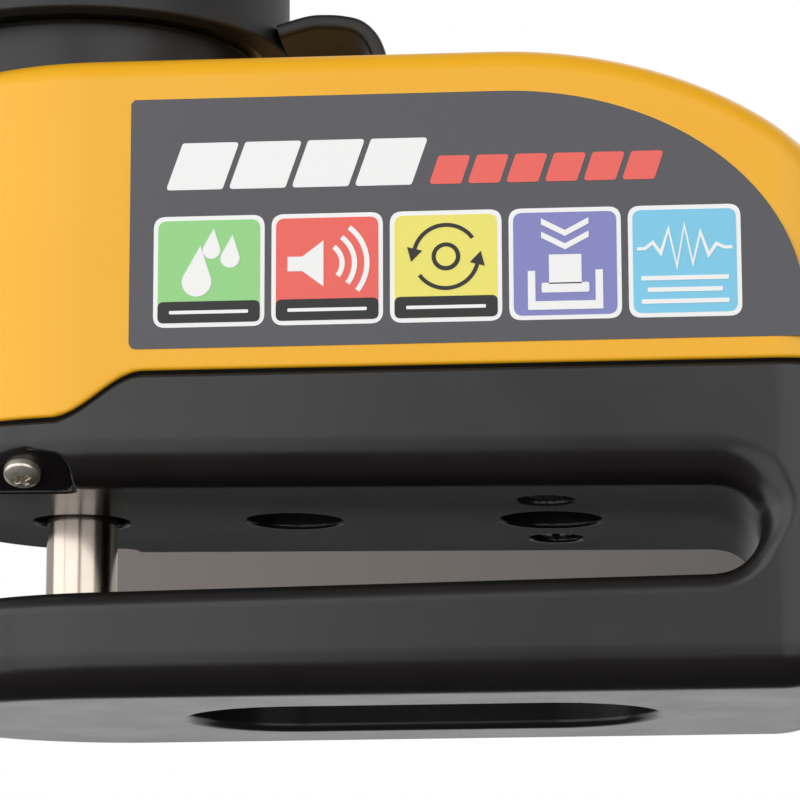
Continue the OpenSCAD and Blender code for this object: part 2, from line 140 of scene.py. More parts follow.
def surface_net(solid: Field, low: Point3, high: Point3, cell: float) -> tuple[Array, Array]:
    """Meshes the surface of a field with four-sided faces.

    Args:
        solid: The field, negative inside.
        low: Lowest corner of the solid, in mm.
        high: Highest corner of the solid, in mm.
        cell: Size of the grid's cells, in mm.

    Returns:
        Points near the surface, and faces.
    """
    axes = [np.arange(a - 1.6 * cell, b + 2.6 * cell, cell) for a, b in zip(low, high)]
    sparse = np.meshgrid(*axes, indexing="ij", sparse=True)
    values = np.broadcast_to(solid(*sparse), [len(a) for a in axes])
    inside = values < 0
    cells = np.array(values.shape) - 1
    count = int(cells.prod())
    hits = np.zeros(count)
    sums = np.zeros((3, count))
    rings = []
    for axis in range(3):
        near = tuple(slice(None, -1) if k == axis else slice(None) for k in range(3))
        far = tuple(slice(1, None) if k == axis else slice(None) for k in range(3))
        crossing = inside[near] != inside[far]
        index = np.argwhere(crossing)
        start, end = values[near][crossing], values[far][crossing]
        place = index.astype(float)
        place[:, axis] += start / (start - end)
        ring = []
        for du, dv in ((0, 0), (-1, 0), (-1, -1), (0, -1)):
            around = index.copy()
            around[:, (axis + 1) % 3] += du
            around[:, (axis + 2) % 3] += dv
            flat = np.ravel_multi_index(around.T, cells)
            ring.append(flat)
            hits += np.bincount(flat, minlength=count)
            for k in range(3):
                sums[k] += np.bincount(flat, weights=place[:, k], minlength=count)
        faces = np.stack(ring, axis=1)
        outward = inside[near][crossing][:, None]
        rings.append(np.where(outward, faces, faces[:, ::-1]))
    used = np.flatnonzero(hits)
    number = np.zeros(count, int)
    number[used] = np.arange(len(used))
    origin = np.array([a[0] for a in axes])
    points = (sums[:, used] / hits[used]).T * cell + origin
    return points, number[np.concatenate(rings)]


# ---------------------------------------------------------------- flat outlines


def rounded(points: Sequence[Point2], radius: float | Sequence[float], steps: int = 6) -> list[Point2]:
    """Outline with each corner rounded.

    Args:
        points: Corners in order.
        radius: Radius for all corners, or one for each.
        steps: Segments in each corner.

    Returns:
        The points of the rounded outline.
    """
    radii = [radius] * len(points) if isinstance(radius, (int, float)) else list(radius)
    made: list[Point2] = []
    for i, (corner, r) in enumerate(zip(points, radii)):
        here = Vector(corner)
        before = Vector(points[i - 1]) - here
        after = Vector(points[(i + 1) % len(points)]) - here
        if r <= 0 or before.length < 1e-9 or after.length < 1e-9:
            made.append(tuple(here))
            continue
        half = max(before.angle(after) / 2, 1e-3)
        run = min(r / math.tan(half), before.length * 0.49, after.length * 0.49)
        first, last = here + before.normalized() * run, here + after.normalized() * run
        for k in range(steps + 1):
            t = k / steps
            made.append(tuple(first.lerp(here, t).lerp(here.lerp(last, t), t)))
    return made


def rectangle(low: Point2, high: Point2, radius: float = 0.0) -> list[Point2]:
    """Rectangle between two corners, with rounded corners."""
    corners = [low, (high[0], low[1]), high, (low[0], high[1])]
    return rounded(corners, radius) if radius else corners


def on_circle(centre: Point2, radius: float, angle: float) -> Point2:
    """Point of a circle at an angle in radians."""
    return centre[0] + radius * math.cos(angle), centre[1] + radius * math.sin(angle)


def circle(centre: Point2, radius: float, steps: int = 48) -> list[Point2]:
    """Points of a circle."""
    return [on_circle(centre, radius, 2 * math.pi * k / steps) for k in range(steps)]


def arc_band(
    centre: Point2, radius: float, width: float, start: float, end: float, steps: int = 24
) -> list[Point2]:
    """Outline of part of a ring between two angles, in degrees."""
    angles = [math.radians(start + (end - start) * k / steps) for k in range(steps + 1)]
    outer = [on_circle(centre, radius + width / 2, a) for a in angles]
    inner = [on_circle(centre, radius - width / 2, a) for a in angles]
    return outer + inner[::-1]


def line_band(path: Sequence[Point2], width: float) -> list[Point2]:
    """Outline of a line of even width along a path."""
    left, right = [], []
    for i, point in enumerate(path):
        here = Vector(point)
        before = here - Vector(path[i - 1]) if i else Vector(path[1]) - here
        after = Vector(path[i + 1]) - here if i < len(path) - 1 else before
        across = (before.normalized() + after.normalized()).normalized().orthogonal()
        stretch = 1 / max(abs(across.dot(before.normalized().orthogonal())), 0.4)
        left.append(tuple(here + across * width / 2 * stretch))
        right.append(tuple(here - across * width / 2 * stretch))
    return left + right[::-1]


# ---------------------------------------------------------------- mesh objects


def to_frame(points: Array, pin_x: float) -> Array:
    """Points in mm from the pin, moved into the frame in metres."""
    return (np.asarray(points, float) + (pin_x, 0, 0)) * MM


def mesh_object(
    name: str, points: Array | Sequence[Point3], faces: Sequence, normals: Array | None = None
) -> bpy.types.Object:
    """Smooth-shaded object from points in metres.

    Args:
        name: Name of the piece.
        points: Vertices in the frame, in metres.
        faces: Vertex numbers of each face.
        normals: Unit normal at each vertex, when known.

    Returns:
        The new object, in the scene.
    """
    mesh = bpy.data.meshes.new(name)
    mesh.from_pydata(points, [], faces)
    mesh.update()
    mesh.shade_smooth()
    if normals is not None:
        mesh.normals_split_custom_set_from_vertices(normals)
    made = bpy.data.objects.new(name, mesh)
    bpy.context.scene.collection.objects.link(made)
    return made


def settle(solid: Field, points: Array, cell: float) -> tuple[Array, np.ndarray]:
    """Moves points onto a field's surface, and gives the unit normal at each."""
    for _ in range(4):
        slope = slope_of(solid, points)
        steep = np.maximum((slope**2).sum(1), 0.05)
        move = slope * (solid(*points.T) / steep)[:, None]
        points = points - np.clip(move, -cell, cell)
    normals = slope_of(solid, points)
    normals /= np.maximum(np.linalg.norm(normals, axis=1), 1e-6)[:, None]
    return points, normals


def field_object(
    name: str, solid: Field, low: Point3, high: Point3, cell: float, pin_x: float, keep: float
) -> bpy.types.Object:
    """Object meshed from a field: small faces on the rounded edges and large ones where it is flat.

    Args:
        name: Name of the piece.
        solid: The field, in mm from the pin.
        low: Lowest corner, in mm.
        high: Highest corner, in mm.
        cell: Size of the first, even faces, in mm.
        pin_x: Place of the pin in the frame, in mm.
        keep: Share of those faces that is kept.

    Returns:
        The new object.
    """
    points, faces = surface_net(solid, low, high, cell)
    points, _ = settle(solid, points, cell)
    fine = mesh_object(name, points, faces)
    thin = fine.modifiers.new("thin", "DECIMATE")
    thin.ratio = keep
    evaluated = fine.evaluated_get(bpy.context.evaluated_depsgraph_get())
    mesh = evaluated.to_mesh()
    kept = np.array([v.co for v in mesh.vertices])
    triangles = [tuple(f.vertices) for f in mesh.polygons]
    evaluated.to_mesh_clear()
    bpy.data.meshes.remove(fine.data)
    kept, normals = settle(solid, kept, cell)
    log.info("%s: %d faces, then %d", name, len(faces), len(triangles))
    return mesh_object(name, to_frame(kept, pin_x), triangles, normals)


def even_shading(made: bpy.types.Object) -> bpy.types.Object:
    """Keeps large faces flat-looking next to small rounded edges."""
    modifier = made.modifiers.new("even shading", "WEIGHTED_NORMAL")
    modifier.keep_sharp = True
    return made


def lathe_object(name: str, profile: Sequence[Point2], pin_x: float, steps: int = 128) -> bpy.types.Object:
    """Object turned round the pin's axis from a closed profile.

    Args:
        name: Name of the piece.
        profile: Radius and height of each point in mm, counterclockwise in that plane.
        pin_x: Place of the pin in the frame, in mm.
        steps: Segments round the axis.

    Returns:
        The new object.
    """
    turn = np.arange(steps) * 2 * math.pi / steps
    r = np.array([p[0] for p in profile])
    z = np.array([p[1] for p in profile])
    columns = [np.outer(np.cos(turn), r), np.outer(np.sin(turn), r), np.tile(z, (steps, 1))]
    points = np.stack(columns, axis=2).reshape(-1, 3)
    n = len(profile)
    faces = []
    for i in range(steps):
        j = (i + 1) % steps
        for k in range(n):
            m = (k + 1) % n
            if r[k] < 1e-9 and r[m] < 1e-9:
                continue
            faces.append((i * n + k, j * n + k, j * n + m, i * n + m))
    made = mesh_object(name, to_frame(points, pin_x), faces)
    weld = made.modifiers.new("close the axis", "WELD")
    weld.merge_threshold = WELD_REACH
    return even_shading(made)


def prism_data(outline: Sequence[Point2], back: float, front: float) -> tuple[list, list]:
    """Points and faces of an upright flat piece, given in mm.

    Args:
        outline: X and Z of each point, counterclockwise.
        back: Y of its back.
        front: Y of its face.

    Returns:
        Points and faces, facing outward.
    """
    n = len(outline)
    points = [(x, back, z) for x, z in outline] + [(x, front, z) for x, z in outline]
    faces = [tuple(range(n - 1, -1, -1)), tuple(range(n, 2 * n))]
    faces += [(i, (i + 1) % n, n + (i + 1) % n, n + i) for i in range(n)]
    return points, faces


def face_outward(made: bpy.types.Object) -> None:
    """Turns every face of an object outward."""
    work = bmesh.new()
    work.from_mesh(made.data)
    bmesh.ops.recalc_face_normals(work, faces=work.faces)
    work.to_mesh(made.data)
    work.free()


def prisms_object(
    name: str, outlines: Sequence[tuple], pin_x: float, finishes_used: Sequence
) -> bpy.types.Object:
    """One object from several flat pieces, each given as (outline, back, front, number of its finish)."""
    points: list[Point3] = []
    faces: list[tuple] = []
    finishes: list[int] = []
    for outline, back, front, finish in outlines:
        new_points, new_faces = prism_data(outline, back, front)
        faces += [tuple(v + len(points) for v in f) for f in new_faces]
        finishes += [finish] * len(new_faces)
        points += new_points
    made = mesh_object(name, to_frame(points, pin_x), faces)
    made.data.shade_flat()
    for finish in finishes_used:
        made.data.materials.append(finish.material)
    made.data.polygons.foreach_set("material_index", finishes)
    face_outward(made)
    return made


def sweep_rows(path: Sequence[Point2], width: float, thick: float) -> Array:
    """Cross-sections of a flat strap with rounded edges, along a path in the XZ plane, in mm."""
    section = rounded(rectangle((-width / 2, -thick / 2), (width / 2, thick / 2)), thick * 0.42, 5)
    rows = []
    for i, (x, z) in enumerate(path):
        before, after = path[max(i - 1, 0)], path[min(i + 1, len(path) - 1)]
        along = Vector((after[0] - before[0], after[1] - before[1])).normalized()
        rows.append([(x - along[1] * t, w, z + along[0] * t) for w, t in section])
    return np.array(rows)


def rows_object(name: str, rows: Array, pin_x: float) -> bpy.types.Object:
    """Closed solid through a row of cross-sections, given in mm from the pin."""
    count, n = rows.shape[:2]
    last = (count - 1) * n
    faces = [
        (i * n + k, i * n + (k + 1) % n, (i + 1) * n + (k + 1) % n, (i + 1) * n + k)
        for i in range(count - 1)
        for k in range(n)
    ]
    faces += [tuple(range(n - 1, -1, -1)), tuple(last + k for k in range(n))]
    made = mesh_object(name, to_frame(rows.reshape(-1, 3), pin_x), faces)
    for edge in made.data.edges:
        first, second = (v // n for v in edge.vertices)
        edge.use_edge_sharp = first == second and first in (0, count - 1)
    return even_shading(made)


def curve_points(path: Sequence[Point2], steps: int = 8) -> list[Point2]:
    """Smooth curve through the points of a path."""
    ends = [path[0], *path, path[-1]]
    made = []
    for a, b, c, d in zip(ends, ends[1:], ends[2:], ends[3:]):
        a, b, c, d = (np.array(p, float) for p in (a, b, c, d))
        for k in range(steps):
            t = k / steps
            point = b + 0.5 * t * (c - a + t * (2 * a - 5 * b + 4 * c - d + t * (3 * (b - c) + d - a)))
            made.append(tuple(point))
    return made + [tuple(path[-1])]


# ---------------------------------------------------------------- materials


def linear(color: str) -> tuple[float, float, float, float]:
    """Linear colour from an sRGB hex string such as #c0ffee."""
    parts = [int(color[i : i + 2], 16) / 255 for i in (1, 3, 5)]
    values = [p / 12.92 if p <= 0.04045 else ((p + 0.055) / 1.055) ** 2.4 for p in parts]
    return (*values, 1.0)


def add_node(tree: bpy.types.NodeTree, kind: str, inputs: dict | None = None, **settings) -> bpy.types.Node:
    """Adds a node to a tree.

    Args:
        tree: The node tree.
        kind: Node type, such as ShaderNodeMix.
        inputs: Value or output socket for each input, by name or number.
        settings: Attributes of the node.

    Returns:
        The new node.
    """
    node = tree.nodes.new(kind)
    for key, value in settings.items():
        setattr(node, key, value)
    for key, value in (inputs or {}).items():
        if isinstance(value, bpy.types.NodeSocket):
            tree.links.new(value, node.inputs[key])
        else:
            node.inputs[key].default_value = value
    return node


def empty_material(name: str) -> tuple[bpy.types.Material, bpy.types.NodeTree]:
    """New node material with nothing in its tree."""
    material = bpy.data.materials.new(name)
    material.use_nodes = True
    material.node_tree.nodes.clear()
    return material, material.node_tree


class Grain(Enum):
    """Which way the fine texture of a surface runs, as a stretch along X, Y and Z."""

    EVEN = (1.0, 1.0, 1.0)
    TURNED = (1.0, 1.0, 9.0)
    DRAWN = (0.12, 1.0, 1.0)


@dataclass(frozen=True)
class Finish:
    """A real material and how its surface was made.

    Attributes:
        name: Material name.
        slot: The record's material slot.
        color: Main colour, sRGB hex.
        shade: Second colour that the first drifts to, sRGB hex.
        roughness: Middle roughness.
        smudge: How far the roughness drifts each way.
        metallic: 1 for bare metal.
        grain_mm: Size of the fine texture.
        depth_mm: Depth of the fine texture.
        patch_mm: Size of the patches of colour and gloss.
        grain: Direction of the fine texture.
        coat: Share of a clear gloss layer.
        coat_roughness: Roughness of that layer.
        specular: Specular level of the shader.
        sheen: Share of soft light at grazing angles.
    """

    name: str
    slot: str
    color: str
    shade: str
    roughness: float
    smudge: float = 0.04
    metallic: float = 0.0
    grain_mm: float = 0.5
    depth_mm: float = 0.002
    patch_mm: float = 9.0
    grain: Grain = Grain.EVEN
    coat: float = 0.0
    coat_roughness: float = 0.1
    specular: float = 0.5
    sheen: float = 0.0

    def build(self) -> bpy.types.Material:
        """Makes the node material: drifting colour and gloss, and a fine bump."""
        material, tree = empty_material(self.name)
        place = add_node(tree, "ShaderNodeNewGeometry").outputs["Position"]
        patches = add_node(
            tree, "ShaderNodeTexNoise", {"Vector": place, "Scale": 1 / (self.patch_mm * MM), "Detail": 3.0}
        )
        stretched = add_node(tree, "ShaderNodeMapping", {"Vector": place, "Scale": self.grain.value})
        fine = add_node(
            tree,
            "ShaderNodeTexNoise",
            {"Vector": stretched.outputs[0], "Scale": 1 / (self.grain_mm * MM), "Detail": 4.0},
        )
        color = add_node(
            tree,
            "ShaderNodeMix",
            {0: patches.outputs["Fac"], 6: linear(self.color), 7: linear(self.shade)},
            data_type="RGBA",
        )
        gloss = add_node(
            tree,
            "ShaderNodeMapRange",
            {
                "Value": patches.outputs["Fac"],
                "From Min": 0.3,
                "From Max": 0.7,
                "To Min": max(self.roughness - self.smudge, 0.02),
                "To Max": self.roughness + self.smudge,
            },
        )
        bump = add_node(
            tree,
            "ShaderNodeBump",
            {"Height": fine.outputs["Fac"], "Distance": self.depth_mm * MM, "Strength": 1.0},
        )
        shader = add_node(
            tree,
            "ShaderNodeBsdfPrincipled",
            {
                "Base Color": color.outputs[2],
                "Roughness": gloss.outputs["Result"],
                "Normal": bump.outputs["Normal"],
                "Metallic": self.metallic,
                "Coat Weight": self.coat,
                "Coat Roughness": self.coat_roughness,
                "Specular IOR Level": self.specular,
                "Sheen Weight": self.sheen,
            },
        )
        add_node(tree, "ShaderNodeOutputMaterial", {"Surface": shader.outputs[0]})
        return material


class Finishes(Enum):
    """Every finish on the lock."""

    # sprayed and baked powder coat: soft gloss with a faint orange peel
    BODY = Finish("powder coated zinc casting", "black_paint", "#1c1a19", "#232120", 0.25, 0.03,
                  grain_mm=0.7, depth_mm=0.004)
    # moulded ABS with pigment: even colour, soft gloss, slight flow marks
    SHELL = Finish("moulded yellow ABS", "yellow_abs", "#ffbc20", "#fcb61c", 0.34, 0.04, grain_mm=0.9,
                   depth_mm=0.003, patch_mm=14)
    # printed vinyl under clear film: dark, even and glossy
    LABEL = Finish("laminated dark vinyl", "label_film", "#525257", "#56565b", 0.4, 0.03, grain_mm=1.6,
                   depth_mm=0.002, patch_mm=20)
    # moulded nitrile rubber: dull, with fine pores
    GASKET = Finish("moulded nitrile rubber", "gasket_rubber", "#070606", "#0b0a0a", 0.75, 0.06, grain_mm=0.3,
                    depth_mm=0.008, specular=0.1)
    # moulded nylon from a spark-eroded tool: fine even texture
    COLLAR = Finish("textured nylon moulding", "black_plastic", "#171514", "#1d1a19", 0.38, 0.04,
                    grain_mm=0.35, depth_mm=0.004)
    # satin moulded rubber: soft sheen over a fine grain
    CAP = Finish("satin moulded rubber", "cap_rubber", "#191919", "#212020", 0.46, 0.05, grain_mm=0.28,
                 depth_mm=0.006)
    # centreless ground and polished steel: fine rings round the pin
    PIN = Finish("polished pin steel", "pin_steel", "#dacdc2", "#cfc0b3", 0.17, 0.05, 1.0, 0.5, 0.0008,
                 grain=Grain.TURNED)
    # ground hardened steel: fine lines, dull shine
    HARD = Finish("ground hardened steel", "hard_steel", "#9b9893", "#84817c", 0.32, 0.06, 1.0, 0.35, 0.0015,
                  grain=Grain.TURNED)
    # bright nickel over steel: smooth with a warm tint
    NICKEL = Finish("nickel plated steel", "nickel_screw", "#eee6da", "#d9cfc0", 0.34, 0.08, 0.85, 0.4, 0.002)
    # blackened steel: dark and oily
    OXIDE = Finish("black oxide steel", "dark_screw", "#1b1a1a", "#2a2827", 0.36, 0.08, 0.6, 0.4, 0.002)
    # die cast zinc as it left the tool: grey, slightly mottled
    ZINC = Finish("die cast zinc", "zinc", "#a7a6a3", "#939290", 0.36, 0.08, 1.0, 0.6, 0.002)
    # turned brass: yellow metal with tool lines
    BRASS = Finish("turned brass", "brass", "#c9a256", "#b58c42", 0.28, 0.07, 1.0, 0.3, 0.0015,
                   grain=Grain.TURNED)
    # solder mask over glass laminate: glossy green with a weave
    BOARD = Finish("green solder mask", "board_green", "#14512c", "#1a6036", 0.3, 0.06, grain_mm=0.6,
                   depth_mm=0.003)
    # moulded epoxy of electronic parts: matt black
    CHIP = Finish("moulded black epoxy", "chip_black", "#17171a", "#202023", 0.55, 0.08, grain_mm=0.2,
                  depth_mm=0.003)
    # moulded acetal: creamy and smooth
    CREAM = Finish("moulded cream acetal", "cream_plastic", "#ddd5bf", "#d3cab2", 0.42, 0.05)
    # pressed and plated steel can: bright with drawing lines
    CELL = Finish("pressed steel can", "cell_steel", "#c2c2c1", "#acacab", 0.26, 0.07, 1.0, 0.4, 0.001,
                  grain=Grain.DRAWN)
    # extruded PVC: shiny red insulation
    WIRE = Finish("extruded red PVC", "wire_red", "#a31d16", "#8e150f", 0.34, 0.06, grain_mm=0.4)
    # hard drawn spring wire: grey steel with drawing marks
    SPRING = Finish("drawn spring wire", "spring_steel", "#8d9094", "#7b7e83", 0.3, 0.07, 1.0, 0.25, 0.001,
                    grain=Grain.DRAWN)

    @property
    def material(self) -> bpy.types.Material:
        """The node material, made on first use."""
        return bpy.data.materials.get(self.value.name) or self.value.build()


def print_ink(name: str, color: str) -> Finish:
    """Screen-printed ink under the label's clear film: even, with the film's soft gloss."""
    return Finish(name, "label_film", color, color, 0.4, 0.03, grain_mm=1.6, depth_mm=0.002, patch_mm=20)


class Inks(Enum):
    """Printing inks of the front label."""

    WHITE = print_ink("screen printed white ink", "#fdfdfc")
    BLACK = print_ink("screen printed black ink", "#1e1c1c")
    RED = print_ink("screen printed red ink", "#f7685d")
    GREEN = print_ink("screen printed green ink", "#9bdd8b")
    YELLOW = print_ink("screen printed yellow ink", "#f8ed71")
    INDIGO = print_ink("screen printed indigo ink", "#898ac9")
    BLUE = print_ink("screen printed blue ink", "#82d2f1")

    @property
    def material(self) -> bpy.types.Material:
        """The node material, made on first use."""
        return bpy.data.materials.get(self.value.name) or self.value.build()


def dress(made: bpy.types.Object, finish: Finishes, body: str, *nodes: str) -> bpy.types.Object:
    """Gives a new piece its finish, its body and the CAD nodes that it stands for."""
    made.data.materials.clear()
    made.data.materials.append(finish.material)
    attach(made, body)
    if nodes:
        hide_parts(*nodes)
    log.info("piece %s: %s on %s", made.name, finish.value.name, body)
    return made


def dress_node(node: str, finish: Finishes) -> None:
    """Gives a CAD node that is shown as it is its finish."""
    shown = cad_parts[node]
    shown.data.materials.clear()
    shown.data.materials.append(finish.material)
    log.info("node %s: %s", node, finish.value.name)


# ---------------------------------------------------------------- the lock's form


@dataclass
class LockForm:
    """Form and places shared by the lock's pieces, in mm from the pin.

    Attributes:
        pin_x: Place of the pin in the frame.
        half_t: Half the lock's thickness.
        end_x: Reach of the lock past the pin.
        shell_top: Height of the flat top.
        nose_x: Centre of the round nose.
        corner_r: Radius of the upright corners at the end.
        heel_r: Radius of the lower corner at the end.
        crown_x: Where the top starts to fall.
        crown_drop: How far it falls.
        joint_h: Height of the joint between body and shell.
        joint_drop: How much lower the joint is at the nose.
        bend_start: Start of the joint's bend.
        bend_end: End of that bend.
        seam: Gap between body and shell, filled by the gasket.
        slot_floor: Height of the lower jaw at the pin.
        slot_ceiling: Height of the slot's ceiling at the pin.
        slot_end: Reach of the slot past the pin.
        slot_taper: Slope of each side of the slot.
        shell_screw_x: Place of the screw that holds the shell.
        shell_post: Radius and top of the post round that screw.
        sounder_x: Place of the sound port.
        sounder_screw_y: How far its two screws are to the sides.
        nose_screw: Place of the front nose screw's seat, with Y counted outward.
        nose_tilt: How far the nose screws point below the horizontal, in degrees.
    """

    pin_x: float
    half_t: float
    end_x: float
    shell_top: float
    nose_x: float = 3.8
    corner_r: float = 9.0
    heel_r: float = 10.0
    crown_x: float = 36.5
    crown_drop: float = 22.5
    joint_h: float = 25.7
    joint_drop: float = 3.6
    bend_start: float = 0.6
    bend_end: float = 8.3
    seam: float = 0.3
    slot_floor: float = 8.3
    slot_ceiling: float = 17.05
    slot_end: float = 57.2
    slot_taper: float = math.tan(math.radians(0.73))
    shell_screw_x: float = 18.13
    shell_post: Point2 = (3.4, 23.0)
    sounder_x: float = 39.85
    sounder_screw_y: float = 9.7
    nose_screw: Point3 = (-2.0, 16.65, 18.6)
    nose_tilt: float = 60.0

    @classmethod
    def from_frame(cls) -> LockForm:
        """Reads the outer sizes and the pin's place from the CAD nodes."""
        pin_low, pin_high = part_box("lock_pin")
        low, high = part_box("lock_body")
        pin_x = (pin_low.x + pin_high.x) / 2 / MM
        return cls(
            pin_x=pin_x,
            half_t=(high.y - low.y) / 2 / MM,
            end_x=high.x / MM - pin_x,
            shell_top=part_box("shell")[1].z / MM,
        )

    def plan(self, x: Array, y: Array) -> Array:
        """Upright walls: a half-round nose and rounded corners at the end."""
        nose = np.hypot(x - self.nose_x, y) - self.half_t
        u = x - (self.end_x - self.corner_r)
        v = np.abs(y) - (self.half_t - self.corner_r)
        return np.where(x < self.nose_x, nose, corner_distance(u, v) - self.corner_r)

    def crown(self, x: Array, z: Array, past: float = 0.0) -> Array:
        """The flat top that falls in a quarter ellipse to the end."""
        a, b = self.end_x + past - self.crown_x, self.crown_drop
        u = np.maximum(x - self.crown_x, 1e-6)
        v = np.maximum(z - (self.shell_top - b), 1e-6)
        k = np.hypot(u / a, v / b)
        return k * (k - 1) / np.hypot(u / a**2, v / b**2)

    def heel(self, x: Array, z: Array, past: float = 0.0) -> Array:
        """The underside, with the rounded lower corner at the end."""
        u = x - (self.end_x + past - self.heel_r)
        return corner_distance(u, self.heel_r - z) - self.heel_r

    def joint(self, x: Array) -> Array:
        """Height of the joint between lock body and shell."""
        t = np.clip((x - self.bend_start) / (self.bend_end - self.bend_start), 0, 1)
        return self.joint_h - self.joint_drop * (0.5 + 0.5 * np.cos(np.pi * t))

    def slot(self, x: Array, z: Array) -> Array:
        """The disc slot, which tapers to its round end."""
        middle = (self.slot_ceiling + self.slot_floor) / 2
        half = (self.slot_ceiling - self.slot_floor) / 2 - x * self.slot_taper
        end_half = (self.slot_ceiling - self.slot_floor) / 2 - self.slot_end * self.slot_taper
        end_x = self.slot_end - end_half
        return np.where(x < end_x, np.abs(z - middle) - half, np.hypot(x - end_x, z - middle) - end_half)


def bulge(radius: float) -> float:
    """How far one of two meeting walls is set back, so that rounding their edge keeps the outline."""
    return 0.29 * radius


@dataclass
class LockBody:
    """Painted casting with the slot, both jaws and every bore.

    Attributes:
        form: The shared form.
        cell: Size of the mesh's first faces.
        keep: Share of those faces that is kept.
        upper_lip: Rounding of the slot's upper edge.
        lower_lip: Rounding of the slot's lower edge.
        bottom_edge: Rounding of the underside's edge.
        top_edge: Rounding of the edge at the joint.
        deck: Height of the hollow's floor.
        boss_r: Radius of the boss round the pin's bores.
        hollow_end: Where the hollow under the alarm ends.
        hollow_half_w: Half the hollow's width.
        post_x: Places of the board's posts.
        post_y: How far they are to the sides.
        post_r: Their radius.
        board_h: Height of the board on them.
        guide: Radius and seat of the pin's guide bush.
        well: Outer radius, inner radius and floor of the spring's well.
        socket: Radius and floor of the bush in the lower jaw.
        hole_r: Radius of the first two ceiling holes.
        port_r: Radius of the sound port.
        relief: Start, end, radius and depth of the hollow in the underside.
        spot: Half length, half width and corner radius of the nose screws' seats.
    """

    form: LockForm
    cell: float = 0.25
    keep: float = 0.16
    upper_lip: float = 3.7
    lower_lip: float = 1.7
    bottom_edge: float = 3.4
    top_edge: float = 0.35
    deck: float = 20.5
    boss_r: float = 13.3
    hollow_end: float = 61.5
    hollow_half_w: float = 15.5
    post_x: Point2 = (27.0, 60.5)
    post_y: float = 13.0
    post_r: float = 2.2
    board_h: float = 28.6
    guide: Point2 = (5.02, 19.6)
    well: Point3 = (8.6, 6.6, 21.4)
    socket: Point2 = (4.62, 2.6)
    hole_r: float = 4.05
    port_r: float = 4.25
    relief: tuple = (9.5, 48.5, 9.0, 2.4)
    spot: Point3 = (4.1, 2.5, 1.2)

    def outside(self, x: Array, y: Array, z: Array) -> Array:
        """Outer form with rounded lower edges and the slot with its soft lips."""
        form = self.form
        heel = form.heel(x, z, bulge(self.bottom_edge))
        solid = both(form.plan(x, y), heel, self.bottom_edge)
        solid = both(solid, z - form.joint(x), self.top_edge)
        middle = (form.slot_ceiling + form.slot_floor) / 2
        lip = self.lower_lip + (self.upper_lip - self.lower_lip) * smooth_step(z, middle - 2.5, middle + 2.5)
        return cut(solid, form.slot(x, z), lip)

    def nose_recess(self, x: Array, y: Array, z: Array) -> Array:
        """Spot faces with rounded corners for the tilted screws on both sides of the nose."""
        cx, cy, cz = self.form.nose_screw
        tilt = math.radians(self.form.nose_tilt)
        half_x, half_w, corner = self.spot
        out = (np.abs(y) - cy) * math.cos(tilt) - (z - cz) * math.sin(tilt)
        across = (np.abs(y) - cy) * math.sin(tilt) + (z - cz) * math.cos(tilt)
        round_face = corner_distance(np.abs(x - cx) - half_x + corner, np.abs(across) - half_w + corner)
        return corner_distance(round_face - corner, -out)

    def underside_relief(self, x: Array, y: Array, z: Array) -> Array:
        """Shallow slot with round ends in the underside of the lower jaw."""
        start, end, radius, depth = self.relief
        along = np.maximum(np.abs(x - (start + end) / 2) - ((end - start) / 2 - radius), 0)
        return corner_distance(np.hypot(along, y) - radius, z - depth)

    def ceiling_holes(self, body: Array, x: Array, y: Array, z: Array) -> Array:
        """Body with the three holes in the slot's ceiling and the counterbores of the sounder's screws."""
        form = self.form
        start = form.slot_ceiling - 3
        for hole_x, radius, top in (
            (0.0, self.hole_r, self.guide[1]),
            (form.shell_screw_x, self.hole_r, 20.1),
            (form.sounder_x, self.port_r, 27.0),
        ):
            body = cut(body, tube(x - hole_x, y, z, radius, start, top), 0.3)
        counterbore = tube(x - form.sounder_x, np.abs(y) - form.sounder_screw_y, z, 2.35, 14, 17.7)
        return cut(body, counterbore, 0.25)

    def alarm_hollow(self, body: Array, x: Array, y: Array, z: Array) -> Array:
        """Body with the hollow under the alarm, its drilled posts and the shell screw's post."""
        form = self.form
        start, end, depth = self.boss_r + 1, self.hollow_end, 20
        hollow = block(
            np.abs(x - (start + end) / 2) - (end - start) / 2,
            np.abs(y) - self.hollow_half_w,
            np.abs(z - self.deck - depth / 2) - depth / 2,
        )
        post_x = np.minimum(*(np.abs(x - place) for place in self.post_x))
        post_y = np.abs(y) - self.post_y
        post_r, post_top = form.shell_post
        body = cut(body, hollow, 0.4)
        body = join(body, tube(post_x, post_y, z, self.post_r, self.deck - 1, self.board_h), 0.2)
        body = join(body, tube(x - form.shell_screw_x, y, z, post_r, self.deck - 1, post_top), 0.2)
        body = cut(body, tube(post_x, post_y, z, 0.95, 23, 30), 0.1)
        return cut(body, tube(x - form.shell_screw_x, y, z, 1.6, 17, 30), 0.1)

    def pin_bores(self, body: Array, x: Array, y: Array, z: Array) -> Array:
        """Body with the seats of the guide bush, the return spring and the lower bush."""
        above = self.form.joint_h + 14
        guide_r, guide_seat = self.guide
        outer_r, inner_r, floor = self.well
        socket_r, socket_floor = self.socket
        body = cut(body, tube(x, y, z, guide_r, guide_seat, above), 0.1)
        core = tube(x, y, z, inner_r, 10, self.form.joint_h)
        body = cut(body, np.maximum(tube(x, y, z, outer_r, floor, above), -core), 0.15)
        return cut(body, tube(x, y, z, socket_r, socket_floor, 12), 0.2)

    def solid(self, x: Array, y: Array, z: Array) -> Array:
        """Field of the whole casting."""
        body = self.outside(x, y, z)
        body = join(body, tube(x, y, z, self.boss_r, self.deck - 1, self.form.joint_h), 0.2)
        body = cut(body, self.nose_recess(x, y, z), 0.4)
        body = self.ceiling_holes(body, x, y, z)
        body = cut(body, self.underside_relief(x, y, z), 0.7)
        body = self.alarm_hollow(body, x, y, z)
        return self.pin_bores(body, x, y, z)

